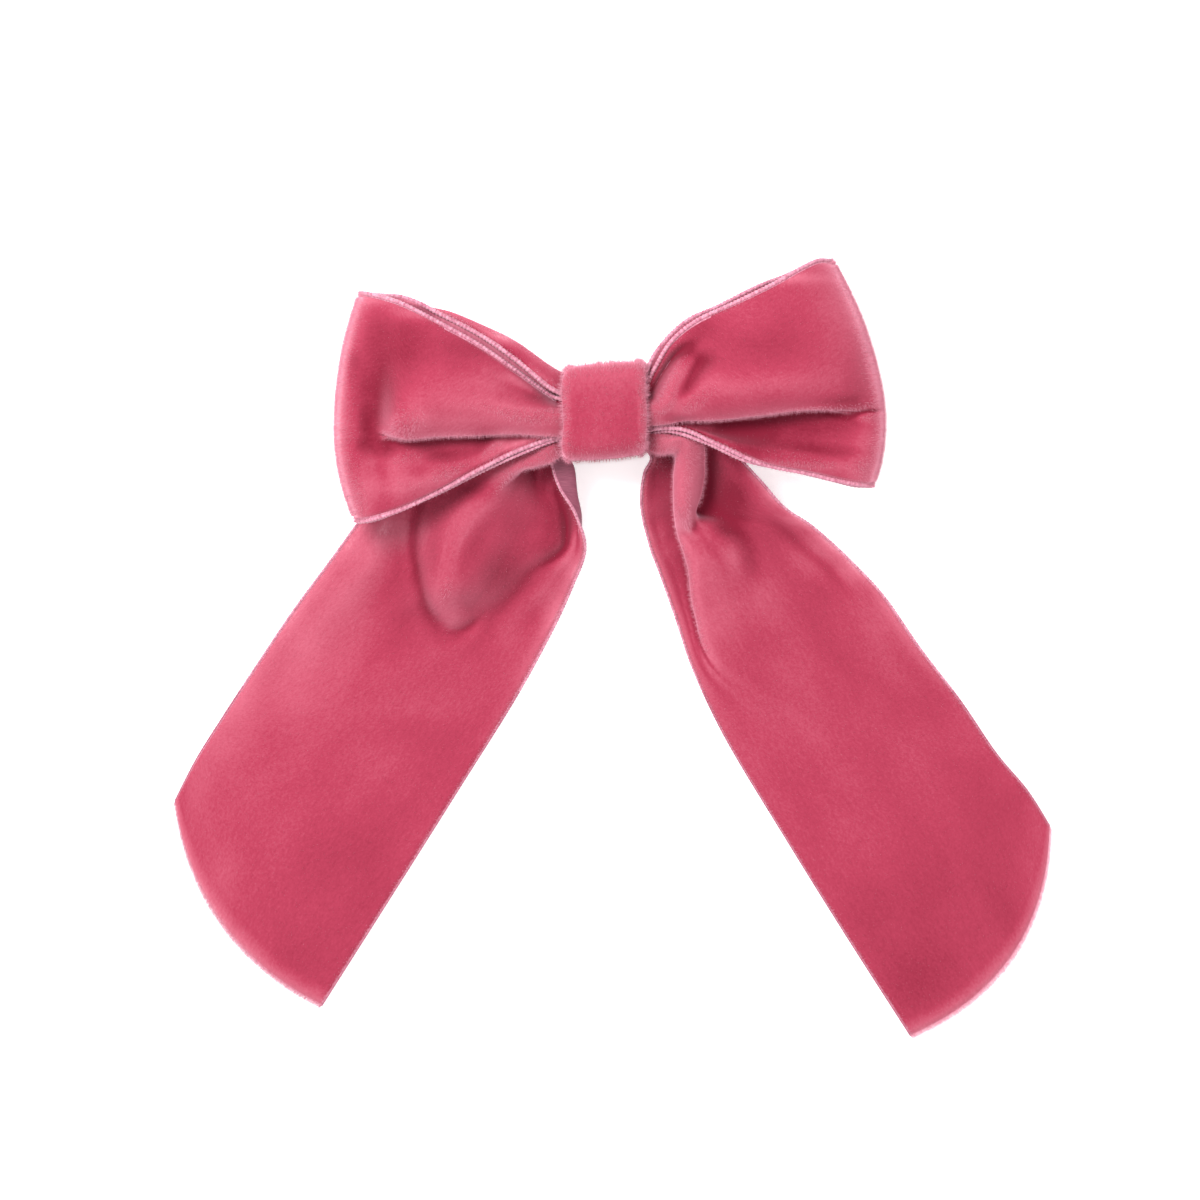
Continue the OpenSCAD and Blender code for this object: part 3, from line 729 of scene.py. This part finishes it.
# Folds pressed into the loops' faces: a width, then a line of places (x, y), each with its rise
LOOP_FOLDS = [
    # left: below the upper selvedge by the waist, round the lobe's tip, and on its crest
    (0.9, [(-7.8, 1.2, -1.4), (-9.6, 2.7, -1.8), (-12.6, 4.8, -0.9), (-16, 7.2, 0)]),
    (2.2, [(-38.6, 2, 0), (-38.4, -4, -0.4), (-36, -7.2, -0.4), (-31, -7, 0)]),
    (2.2, [(-34.8, -3.4, 0.9), (-31, -2.4, 0.7), (-26, -1.6, 0)]),
    # left: the soft ridge under the lobe, a short one nearer the waist, and two crimps by the outer fold
    (1.6, [(-36.4, -9.8, 0), (-32, -8, 0.3), (-27.6, -9, 0.3), (-24, -10.4, 0)]),
    (1.1, [(-16.4, -4.4, 0.3), (-18, -6.6, 0.7), (-19.6, -8.6, 0.2)]),
    (1.6, [(-38.8, 8.4, 0), (-41, 8.2, -0.15), (-43.2, 8.3, 0)]),
    (1.6, [(-37.8, -5.2, 0), (-40.4, -5.8, -0.2), (-42.6, -6.2, 0)]),
    # right: the ridge rising from the waist, the crease by the selvedge and the hollow beyond it
    (1.6, [(8.4, -0.8, 0.4), (10.2, 2.6, 1.2), (11.9, 5.6, 1.3), (12.9, 7.4, 1)]),
    (1.1, [(7.9, 2, -0.8), (9.2, 5.4, -1.3), (10.9, 8, -1.2), (12.5, 9.4, -0.8),
           (14.4, 10.6, -0.2)]),
    (1.9, [(11.6, -0.2, -0.2), (14, 3.8, -1), (15.8, 7, -1.2), (17.8, 9.4, 0)]),
    # right: the crimp in the outer fold, the soft ridge by the lower selvedge, and the hollow over it
    (0.8, [(39.6, -0.6, 0), (42, -0.2, -0.5), (44.6, 0, -0.3)]),
    (1.6, [(20, -6.4, 0), (24, -6.8, 0.15), (29, -7.6, 0.2), (38, -8.8, 0)]),
    (2, [(17, -3.2, 0), (20, -3.8, -0.9), (24, -4.2, -0.9), (29, -3.8, 0)]),
]
# Strokes of painted shade and highlight, with some brushed tone of the pile: middle (x, y), reach along x
# and y, how pale (+) or deep (-) it went
LOOP_SHADE_STROKES = [
    # left: painted shade in the deep corner and the bands between the lobe's tip and the outer fold, a
    # painted highlight on the crest and back edge, and painted shade in the hollows under the lobe and by
    # the waist
    (-33, 11.5, 6.5, 6, -0.65), (-39.9, 0.5, 1.9, 9, -0.75), (-20, 3, 9, 3.5, 0.05),
    (-34, 1, 2.4, 6.5, -0.5), (-10, 2, 2.5, 1.8, -1), (-36.5, -12, 2.6, 2.6, 0.45),
    (-36, 17.9, 5, 1.2, 0.9), (-26, -1.6, 6, 1.2, 0.35), (-26, -8.2, 7, 2.2, -0.55),
    (-30, 15.6, 5, 1.3, 0.9), (-16, 11.8, 4, 1.4, 1.1), (-22, 9.6, 6, 2.4, -0.55),
    (-15.6, 4.6, 3, 1.8, 0.4), (-15.4, -5.6, 3, 1.6, 0.6), (-12, -1.4, 3, 1.2, -0.25),
    (-33, -5.6, 2.2, 2, -0.5), (-40.6, -8, 1.6, 4, -0.45), (-38.4, 12, 2.4, 7, -0.3),
    (-40.9, 7, 1.4, 2.6, -0.5), (-34, 4, 3, 5, -0.3), (-19.4, -4.4, 2.4, 1.6, -0.9),
    (-36.4, -8, 1.8, 1.4, 0.4), (-20, 4.5, 3.6, 2, 0.25),
    # right: painted shade in the hollow beside the ridge, painted shades of the lobe, a painted highlight
    # on the back edge, painted shade in the deep pocket under the lobe, and painted bands inside the outer
    # fold
    (13, 9.2, 1.9, 1.8, -1.2), (24, 9, 10, 4, -0.45), (26, 1.6, 13, 2, -0.35), (29, 21.2, 7, 0.9, 1),
    (36.6, 24.2, 2.6, 0.8, 1), (31, -3, 10, 2.4, -0.85), (22, -4.4, 4.4, 3, -1.2),
    (34, -7.2, 8, 1.6, -0.8), (15.6, 13, 3, 2.6, -0.6), (37, 16, 4, 5, 0.1), (17.8, 6.6, 1.8, 3, -0.2),
    (13, -1.6, 3, 0.9, -0.9), (39, 1, 5, 1.4, -0.8), (41, 5, 2.6, 5, -0.4), (24.8, -7, 4, 1.3, -0.8),
    (42.4, 12, 2, 7, -0.25), (44.4, 4, 1.2, 14, -0.3),
]


def build_loops():
    """One ribbon ring: out along the right loop's face, back behind it, and the same on the left."""
    net = RIGHT_LOOP + [WAIST_BACK] + LEFT_LOOP[::-1]
    ring = Ribbon(smooth_grid(net, along=8, across=14, closed=True), closed=True)
    ring.crease(LOOP_FOLDS)
    ring.brush(LOOP_SHADE_STROKES, turn_sheen=1.7)
    cloth = dress(ribbon_object("loop_velvet", ring, LIT_LOOP_SATIN), "velvet", "loop_ribbon")
    border = dress(selvedges("loop_selvedges", ring, thick=0.37, far_thick=0.37), "velvet")
    patches = pile_patches(ring, overall=2.0, folds=50, edges=16, sharp=0.24, rims=85)
    hairs = dress(fringe("loop_pile_fringe", patches), "velvet")


# ---------------------------------------------------------------- the tails

LEFT_TAIL = [
    [(-4.5, -4.2, 12.2), (-4.5, -4.9, 12), (-4.5, -4.8, 11.9), (-4.5, -4, 12), (-4.5, -3, 12.6),
     (-4.5, -4.6, 13.6), (-4.5, -3.6, 14.2), (-4.5, -2, 14.3), (-4.5, -0.5, 14)],
    [(-8.6, -6.6, 12.2), (-7.2, -7.4, 11.2), (-8, -6.6, 10.4), (-8.8, -5.4, 9.6), (-8.8, -4.4, 10.8),
     (-8.2, -7.7, 15), (-8.4, -6, 16.4), (-8.6, -3.4, 15), (-8.8, -1, 13.8)],
    [(-8.3, -9.4, 11.6), (-5.2, -9, 9.8), (-7.4, -9.2, 8.4), (-9.9, -8, 7.8), (-10.8, -6, 8.8),
     (-10.9, -8.7, 14.6), (-11.6, -7, 15.4), (-12.4, -4, 13.4), (-13, -1.6, 12)],
    [(-7.1, -12.8, 10.6), (-4.6, -13.4, 8.6), (-7.2, -13.8, 6.8), (-10.6, -12.4, 6.6), (-12.8, -9, 7.6),
     (-14.2, -9.8, 13), (-16.6, -9, 13.6), (-19, -5.6, 11), (-21, -3.2, 10.8)],
    [(-4.6, -17, 8.8), (-3.9, -18.2, 7), (-6.4, -18.9, 5.7), (-11, -17.6, 7), (-15.8, -15.2, 9.8),
     (-19.6, -13.8, 11.4), (-24, -11.8, 10.6), (-28.2, -9.6, 9), (-31, -8.4, 8.2)],
    [(-3.2, -22.6, 5.6), (-5.4, -23.6, 4.7), (-9.6, -23.2, 5.8), (-14.8, -22, 8), (-20, -20.8, 9.8),
     (-25.6, -19.4, 9.6), (-30.8, -18, 6.2), (-35.4, -16.8, 6.2), (-38.8, -16.4, 5.6)],
    [(-5.4, -28.8, 3), (-9.6, -29.2, 2.6), (-14.2, -29.2, 3.2), (-18.8, -28.8, 6.4), (-23.6, -28.2, 8.4),
     (-28.4, -27.6, 6.6), (-33.8, -26.6, 3.8), (-39.4, -25.4, 4.4), (-45, -24.6, 3.6)],
    [(-8.9, -36.4, 1.6), (-13.9, -36.4, 1.4), (-19.1, -36, 1.5), (-24.1, -35.4, 2.2), (-28.7, -34.8, 2.4),
     (-33.5, -34.2, 2), (-38.9, -33.6, 2), (-45.3, -32.8, 2.6), (-51.3, -33, 2.2)],
]
RIGHT_TAIL = [
    [(4.5, -4.6, 12.2), (4.5, -4.4, 12), (4.5, -3.4, 12.4), (4.5, -4.6, 13.6), (4.5, -3.8, 14.2),
     (4.5, -3, 14.4), (4.5, -2.2, 14.3), (4.5, -1.4, 14.2), (4.5, -0.6, 14)],
    [(7.6, -7.4, 10.8), (8.4, -6.4, 10), (8.9, -4, 10.8), (8.4, -6.6, 15.2), (8.5, -5.6, 16.6),
     (8.6, -4.2, 16.4), (8.6, -3, 15.6), (8.6, -2, 14.6), (8.6, -1, 13.4)],
    [(6.6, -10.2, 9.4), (8.6, -9.6, 8.6), (12.6, -6.4, 9.2), (11.8, -6.9, 14.8), (13, -5, 16.4),
     (15, -4.8, 15), (14.8, -4.2, 12.4), (16.4, -3.6, 11.4), (18.6, -4.8, 11.4)],
    [(6.1, -14.4, 7.6), (8.2, -14.2, 7), (13.4, -11.4, 7.6), (11.7, -10.8, 12.4), (13.6, -9.6, 14.4),
     (16, -9.2, 12), (15.8, -8.6, 8.8), (20.6, -8.6, 9.8), (25, -10.8, 9.2)],
    [(6.5, -17.8, 5.8), (8.6, -17.6, 5.2), (13.4, -15.2, 5.8), (11.7, -14.8, 10.8), (13.4, -13.8, 12.8),
     (15.5, -13.4, 10.4), (15.8, -13, 6.8), (23.4, -13, 8.2), (29.3, -15.6, 7.4)],
    [(7.2, -20.6, 4.8), (9.2, -20.4, 4.2), (13.2, -18.2, 4.6), (11.9, -17.6, 9.2), (13.2, -17, 11.2),
     (14.6, -16.8, 9.2), (15.6, -16.6, 6), (26.4, -16.4, 7), (33.5, -18.4, 6.2)],
    [(7.9, -23, 4), (9.9, -22.8, 3.5), (13.4, -20.8, 3.8), (12.5, -20.4, 6.4), (13.9, -20, 7.6),
     (15.8, -19.4, 7.6), (20.6, -18.8, 6.4), (29.4, -19, 5.8), (36.2, -20.6, 5.4)],
    [(9.3, -26.6, 3), (11.6, -26.6, 2.4), (14.4, -25.8, 2.8), (14.2, -25.6, 5.8), (16.4, -24.4, 6.9),
     (20, -22.9, 6.8), (26, -21.8, 5.4), (33.8, -22.2, 4.8), (40.1, -24.2, 4.6)],
    [(11.8, -33.6, 1.8), (13.6, -33.8, 1.6), (15.3, -33.4, 2), (15.5, -33, 3.8), (18.4, -31.8, 4.5),
     (23.6, -30.4, 4.2), (31, -29, 3.4), (39, -28.4, 3.6), (45.8, -30.2, 3.2)],
    [(15, -43, 1.2), (16.6, -42.8, 1.3), (18, -42.4, 1.7), (20.2, -41.8, 2.2), (25.4, -40.6, 2.6),
     (31.6, -39.8, 2.2), (37.6, -39, 1.8), (45, -38.2, 2.4), (52, -39, 2)],
]
# The flat lower part of each tail: the inner and outer ends of its rows, and how much its middle lifts
LEFT_FLAT = [((-15.1, -47.8), (-58.1, -43), 0.7), ((-24.3, -62.6), (-63.1, -50.6), 0.3),
             ((-35.4, -80.2), (-67.4, -57.4), 0.5), ((-46.7, -98), (-70.9, -64.2), 0.1)]
RIGHT_FLAT = [((20.4, -54.4), (58.7, -47.6), 0.6), ((29.4, -69.4), (64.6, -56.2), 0.3),
              ((39.9, -86.3), (69.8, -62.4), 0.5), ((50.6, -103), (73.6, -68.4), 0.1)]
REST_Z = 0.75                               # the middle surface's height where it lies on the table
LEFT_CUT_BOW, RIGHT_CUT_BOW = 5.4, 6.6      # how far the curved cuts bow out

# Folds of the tails, and their strokes of painted shade and light, given as the loops' are
TAIL_FOLDS = [
    # left: the pocket's rim, the bulge's outer rim and tip, its crest, and the hollow beside it
    (1.2, [(-7.4, -13.4, -0.4), (-6.3, -16.4, -0.8), (-6.1, -20, -1.1), (-6.6, -22.2, -1.1),
           (-8.4, -23.8, -0.8), (-11.4, -25.4, -0.4), (-15, -27.4, 0)]),
    (1.2, [(-28.6, -13, 0), (-30.6, -16.6, -0.5), (-31, -20, -0.6), (-30.8, -24, -0.6),
           (-29.9, -29, -0.7), (-28.6, -33, -0.9), (-26, -36, -1.1), (-23, -35.6, -0.9),
           (-20.6, -33.4, 0)]),
    (2.6, [(-14.6, -11, 0.9), (-18.6, -14.2, 1), (-22.8, -18.2, 1.2), (-25.6, -24, 1.3),
           (-26.4, -29, 1.3), (-25.4, -33, 1.1)]),
    (3.4, [(-12.2, -19, -0.3), (-14.6, -22.6, -0.7), (-17.6, -26.8, -0.9), (-21, -31.6, -0.5)]),
    (2.4, [(-5, -22, 0.2), (-8, -27, 0.6), (-13.4, -31, 0.6), (-19, -36.4, 0)]),
    # right: the ridge below the rolled fold, the hollow beside it, and the valley by the outer edge
    (1.8, [(17.4, -6, -0.6), (17.8, -10, -1.2), (17.6, -14.6, -1.2), (19, -17.8, 0)]),
    (1.7, [(14.6, -18.8, 0), (17.2, -19.8, 0.5), (19.8, -22, 0.4), (21.6, -25.4, 0.2),
           (22.4, -29, 0)]),
    (1.8, [(20.4, -17.6, -0.2), (23, -21.2, -0.4), (24.8, -25, -0.3), (25.6, -29, 0)]),
    (1.5, [(24, -13.6, 0), (28.4, -18.2, -0.4), (32.4, -22, -0.7), (37, -25.8, -0.6),
           (41.6, -31, 0)]),
]
TAIL_SHADE_STROKES = [
    # left: painted light and shade on the bulge's crest and hollow, painted shade in the pocket by the
    # satin, painted light against the loop's shadow below its edge, and broad lighter and darker patches
    # down the tail
    (-20, -15, 5, 4, -0.15), (-31.6, -28, 1.8, 5, -0.5), (-15.6, -25.6, 6, 4.4, -0.55),
    (-10.5, -12.6, 2.2, 3.4, -0.3), (-10.6, -6.8, 4.2, 1.3, 0.2), (-7.2, -17.4, 2, 4.6, -1.2),
    (-9, -22.6, 2.6, 2.4, -1), (-15.4, -18, 2.6, 2.6, -0.35), (-20.6, -13, 3.4, 1.8, -0.7),
    (-5.4, -25, 2, 3, 0.7), (-8.8, -31.6, 2.6, 4, 0.55), (-34, -19.2, 5, 2.6, 1),
    (-34.4, -22.6, 4, 3, 0.35), (-41, -22.6, 3, 3, 0.5), (-43, -31, 6, 6, 0.6), (-50, -37, 3.6, 5, 0.5),
    (-50, -53, 12, 6, 0.15), (-60, -48, 4, 6, 0.45), (-67, -63, 3, 6, 0.35), (-63, -75, 4, 9, 0.2),
    (-19, -28, 4, 5, -0.3), (-27.6, -24, 1.6, 6, -0.3), (-40, -76, 8, 10, -0.25),
    (-51, -90, 6, 6, -0.3), (-27, -54, 5, 4, -0.15), (-25.4, -24, 3, 8, -0.25), (-52, -46, 5, 6, 0.45),
    (-64, -55, 4, 5, 0.3), (-15, -38, 3, 4, 0.2), (-45, -42, 4, 6, 0.25), (-30, -49, 7, 2.6, 0.2),
    # right: a painted highlight on the rolled fold, painted shade in the deep hollow beside it, the ridge
    # below it, and broad lighter and darker patches
    (10.6, -5, 4, 1.2, 0.35), (13.6, -12, 2.2, 6, 0.25), (21, -13.4, 4.4, 7, -1.3),
    (19, -20, 2.4, 2.6, -0.6), (29, -19.6, 4, 4, -0.35), (14, -20.4, 1.6, 2, 0.6),
    (18.5, -34, 4, 8, 0.3), (27, -29, 6, 5, 0.3), (36.4, -28.6, 2.6, 3.6, -0.3),
    (40.6, -26.2, 3, 2, 0.6), (7.8, -12, 1.6, 5, -0.6), (24.6, -10.4, 2.4, 1.6, 0.8),
    (32, -17.4, 3, 1.6, 0.7), (27.5, -13, 3, 3, 0.8), (37, -22, 4, 3, 0.6), (46, -33, 3, 4, 0.25),
    (23, -26, 1.6, 3, -0.4), (25, -57, 5, 6, 0.2), (35, -40, 6, 8, 0.1), (54, -76, 8, 9, -0.35),
    (52, -93, 6, 7, -0.5), (64, -68, 5, 7, -0.25), (44, -83, 4, 5, -0.25), (66, -82, 4, 6, -0.2),
    (40, -73, 5, 4, 0.1),
]


NET_COLUMNS = 9


def flat_rows(rows, cut_bow):
    """Net rows of the part of a tail that lies on the table, the last one on the curved cut."""
    net = []
    for index, (inner, outer, lift) in enumerate(rows):
        share = np.linspace(0, 1, NET_COLUMNS)[:, None]
        inner, outer = np.array(inner), np.array(outer)
        # The way square to the row and down the tail
        ahead = unit((outer - inner)[::-1] * (1, -1))
        if ahead[1] > 0:
            ahead = -ahead
        bow = cut_bow * ((index + 1) / len(rows)) ** 3
        place = inner + (outer - inner) * share + ahead * bow * 4 * share * (1 - share)
        height = REST_Z + lift * np.sin(share * math.pi) ** 2
        net.append(np.concatenate([place, height], 1).tolist())
    return net


def build_tails():
    """One ribbon from cut to cut, gathered at the waist."""
    left = LEFT_TAIL + flat_rows(LEFT_FLAT, LEFT_CUT_BOW)
    right = RIGHT_TAIL + flat_rows(RIGHT_FLAT, RIGHT_CUT_BOW)
    # Inside the knot it is as by the left tail, and a little narrower
    waist = [(0.0, y * 0.98, z) for _, y, z in LEFT_TAIL[0]]
    strip = Ribbon(smooth_grid(left[::-1] + [waist] + right, along=9, across=14))
    strip.crease(TAIL_FOLDS)
    strip.brush(TAIL_SHADE_STROKES, fray_and_sheen=1.4)
    cloth = ribbon_object("tail_velvet", strip, SHADED_SATIN, cut_ends=True, border=0.06)
    dress(cloth, "velvet", "tail_ribbon")
    border = dress(selvedges("tail_selvedges", strip, thick=0.24, far_thick=0.11), "velvet")
    patches = pile_patches(strip, overall=1.6, folds=45, edges=30, sharp=0.38, waist=70, cut=200)
    hairs = dress(fringe("tail_pile_fringe", patches), "velvet")


# ---------------------------------------------------------------- the centre wrap

def cad_box(node):
    """The lowest and highest corners of a CAD node, in millimetres."""
    return [np.array(corner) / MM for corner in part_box(node)]


def squared(value, power):
    """A sine or cosine drawn out, so that a circle made from it goes square as power goes to 0."""
    return np.sign(value) * np.abs(value) ** power


WRAP_COLUMNS = 64
ROLL_RADIUS = 0.75                          # of the wrap's sides, rolled over onto its underside
FLAT_SHARE = 0.72                           # of the wrap's columns, between its rolled sides
CROWN = 0.35                                # how far its middle bulges
LAP = 0.3                                   # how far the end sewn down behind stands out
NOTCH = 0.45                                # how deep the dent in its top edge is
SQUARENESS = 0.42                           # of its section: 1 would be an ellipse
SIDE_INSET = 1.45                           # from the CAD wrap's side to the middle surface's


def wrap_outline(low, high):
    """The wrap's rounded section in even steps, and the middle and half of its height."""
    half_y = (high[1] - low[1]) / 2 - PILE_HEIGHT - 0.25
    z0, z1 = low[2] + 0.35, high[2] - PILE_HEIGHT
    middle = (z0 + z1) / 2
    half_z = (z1 - z0) / 2
    samples, pitch = 140, 0.36
    angle = np.linspace(0, 2 * math.pi, samples, endpoint=False)
    y = half_y * squared(np.cos(angle), SQUARENESS)
    z = middle + half_z * squared(np.sin(angle), SQUARENESS)
    outline, _ = resample(np.stack([np.zeros(samples), y, z], 1), pitch, closed=True)
    return outline, middle, half_z


def wrap_column(share, half_x):
    """Where a column lies, from share -1 to 1 of the width: its x, and how far it has rolled down."""
    flat = half_x - ROLL_RADIUS
    if abs(share) < FLAT_SHARE:
        return flat * share / FLAT_SHARE, 0.0
    bend = (abs(share) - FLAT_SHARE) / (1 - FLAT_SHARE) * math.pi
    return math.copysign(flat + ROLL_RADIUS * math.sin(bend), share), ROLL_RADIUS * (1 - math.cos(bend))


def wrap_grid(half_x, outline, middle, half_z):
    """The wrap's middle surface: crowned over its width, pinched at its corners and notched on top."""
    y, z = outline[:, 1], outline[:, 2]
    outward = unit(np.cross(unit(slopes(outline, 0, True)), (1.0, 0, 0)))
    if outward[np.argmax(y), 1] < 0:
        outward = -outward
    # The lapped end covers the lower part of the underside
    behind = 1 / (1 + np.exp((z - (middle - half_z + 2.0)) / 0.4))
    lap = LAP * behind / (1 + np.exp((y + 0.8) / 0.12))
    # The notch is deepest on the face and fades down the side, and the corners are pinched in
    upper = 0.45 + 0.55 * np.clip((z - middle) / half_z, 0, 1)
    corner = np.clip((np.abs(y) - 5.0) / 3.0, 0, 1) ** 2
    grid = np.zeros((len(outline), WRAP_COLUMNS, 3))
    for j, share in enumerate(np.linspace(-1, 1, WRAP_COLUMNS)):
        x, drop = wrap_column(share, half_x)
        crown = CROWN * (1 - (x / half_x) ** 2)
        pinch = np.where(y > 0, 0.14, 0.05) if x < 0 else 0.04
        notch = NOTCH * math.exp(-((x - 0.2) / 0.5) ** 2) * np.clip((y - 6.0) / 1.5, 0, 1) * upper
        grid[:, j] = outline - outward * (drop - crown - lap[:, None])
        grid[:, j, 0] = x * (1 - pinch * corner) + 0.12 * np.sin(y * 0.6 + z * 0.4)
        grid[:, j, 1] += 0.08 * x - 0.2 - notch     # pulled up a little to the right
    return grid, outward


def build_wrap():
    """The narrow ribbon round the waist and the plate, its sides rolled under and its end lapped behind."""
    low, high = cad_box("centre_wrap")
    half_x = (high[0] - low[0]) / 2 - SIDE_INSET
    grid, outward = wrap_grid(half_x, *wrap_outline(low, high))
    wrap = Ribbon(grid, closed=True)
    if (wrap.normal[:, WRAP_COLUMNS // 2] * outward).sum() < 0:
        wrap.turn_over()
    wrap.brush()
    # Its pile is painted paler up the view, as light from the lamp up there, and paler along the rolled
    # sides, painted sheen
    side_sheen = np.exp(-((half_x - np.abs(grid[..., 0])) / 0.8) ** 2)
    wrap.state = wrap.state * 0.3 + 0.05 + 0.025 * grid[..., 1] + 0.4 * side_sheen
    cloth = solid("wrap_velvet", wrap, PILE_HEIGHT, SHADED_SATIN)
    dress(cloth, "velvet", "centre_wrap")
    fold = np.clip((wrap.bend() - 0.25) / 0.4, 0, 1)
    face, still = wrap.face(EDGE_HEIGHT), np.zeros_like(wrap.normal)
    tufted = 0.8 + 0.6 * np.sin(grid[..., 1] * 2.9 + 1.7 * np.sin(grid[..., 1] * 1.3))
    patches = [(PILE, face, wrap.normal, still, np.full(fold.shape, 5.0)),
               (SHEEN_PALE_PILE, face, wrap.normal, still, 50 * fold * tufted)]
    hairs = dress(fringe("wrap_pile_fringe", patches, 1.3), "velvet")


# ---------------------------------------------------------------- thread

def twisted(path, radius, plies=2, pitch=1.1):
    """Plies of thread twisted round a path."""
    path, far = resample(np.asarray(path, float), 0.07)
    ahead = unit(slopes(path, 0, False))
    side = unit(np.cross(ahead, THREAD_UP))
    top = np.cross(side, ahead)
    parts = []
    for k in range(plies):
        angle = (far / pitch + k / plies) * 2 * math.pi
        line = path + (side * np.cos(angle)[:, None] + top * np.sin(angle)[:, None]) * radius * 0.5
        parts.append(tube(line, radius * 0.62, THREAD_UP))
    return parts


def build_lashing():
    """Four turns of thread round the gathered waist."""
    low, high = cad_box("waist_thread")
    inset, turns, samples = 0.35, 4, 60
    middle, half = (low + high) / 2, (high - low) / 2 - inset
    done = np.arange(turns * samples + 1)
    angle = done / samples * 2 * math.pi
    x = low[0] + inset + (high[0] - low[0] - 2 * inset) * done / (turns * samples)
    y = half[1] * squared(np.cos(angle), 0.4)
    z = middle[2] + half[2] * squared(np.sin(angle), 0.4)
    path = np.stack([x, y, z], 1)
    dress(joined("waist_lashing", twisted(path, 0.33), [THREAD]), "thread", "waist_thread")


def build_stitch(side):
    """A closed stitch through the sewing holes at one end of the plate, round the loop's back."""
    low, high = cad_box("end_stitch_" + side)
    x = (low[0] + high[0]) / 2
    y0, y1 = low[1] + 0.3, high[1] - 0.3
    z0, z1 = low[2] + 0.3, high[2] - 0.3
    corners = np.array([(x, y0 + 1.2, z0), (x, y0 + 0.1, z0 + 0.25), (x, y0, z0 + 1.2),
                        (x, y0, z1 - 1.0), (x, y0 + 0.3, z1 - 0.1), (x, 0, z1 + 0.05),
                        (x, y1 - 0.3, z1 - 0.1), (x, y1, z1 - 1.0), (x, y1, z0 + 1.2),
                        (x, y1 - 0.1, z0 + 0.25), (x, y1 - 1.2, z0), (x, 0, z0 - 0.05)])
    loop = spline(corners, 8, closed=True)
    loop = np.concatenate([loop, loop[:3]])
    name = "plate_stitch_" + side
    dress(joined(name, twisted(loop, 0.3), [THREAD]), "thread", "end_stitch_" + side)


# ---------------------------------------------------------------- stage

def build_light(aim):
    """One soft lamp, up and to the left of the view."""
    aside, height = 0.34, 0.90
    place = (aim[0] - aside, aim[1] + aside, height)
    data = bpy.data.lights.new("key", "AREA")
    data.shape = "DISK"
    data.size = 0.40
    data.energy = 13.0
    lamp = bpy.data.objects.new("key", data)
    lamp.location = place
    lamp.rotation_euler = (Vector(aim) - Vector(place)).to_track_quat("-Z", "Y").to_euler()
    bpy.context.scene.collection.objects.link(lamp)


def build_table(top):
    """A plain white table just under the height top, glowing a little so that it stays white."""
    half, gap = 1500, 0.05                      # millimetres
    corners = [(s * half, t * half, top / MM - gap) for s, t in ((-1, -1), (1, -1), (1, 1), (-1, 1))]
    table = new_object("table", corners, [[0, 1, 2, 3]], [], smooth=False)
    paper = Nodes("white_table")
    paper.set(Base_Color=(0.93, 0.93, 0.93, 1), Roughness=0.9, Specular_IOR_Level=0.1,
              Emission_Color=(1, 1, 1, 1), Emission_Strength=0.5)
    table.data.materials.append(paper.material)
    return table


def build_camera():
    """A camera that looks straight down on a point between the knot and the tails."""
    height = 1.2
    plane = 0.010                               # where the view is its stated width
    view_width = 0.1966
    camera = bpy.data.cameras.new("camera")
    camera.sensor_width = 36
    camera.lens = camera.sensor_width / 2 / (view_width / 2 / (height - plane))
    camera.clip_start = 0.01
    eye = bpy.data.objects.new("camera", camera)
    eye.location = (-0.0007, -0.0310, height)
    bpy.context.scene.collection.objects.link(eye)
    bpy.context.scene.camera = eye


def build_stage():
    """White surroundings, the table, the lamp and the camera."""
    scene = bpy.context.scene
    scene.view_settings.view_transform = "Standard"
    world = bpy.data.worlds.new("studio")
    world.use_nodes = True
    background = world.node_tree.nodes["Background"]
    background.inputs["Color"].default_value = (1, 1, 1, 1)
    background.inputs["Strength"].default_value = 1.15
    scene.world = world
    low, high = (np.array(corner) for corner in CAD_BOUNDS)
    floor = build_table(low[2])
    build_light((low + high) / 2)
    build_camera()


build_stage()
finish_metal()
build_loops()
build_tails()
build_wrap()
build_lashing()
for end in ("left", "right"):
    build_stitch(end)
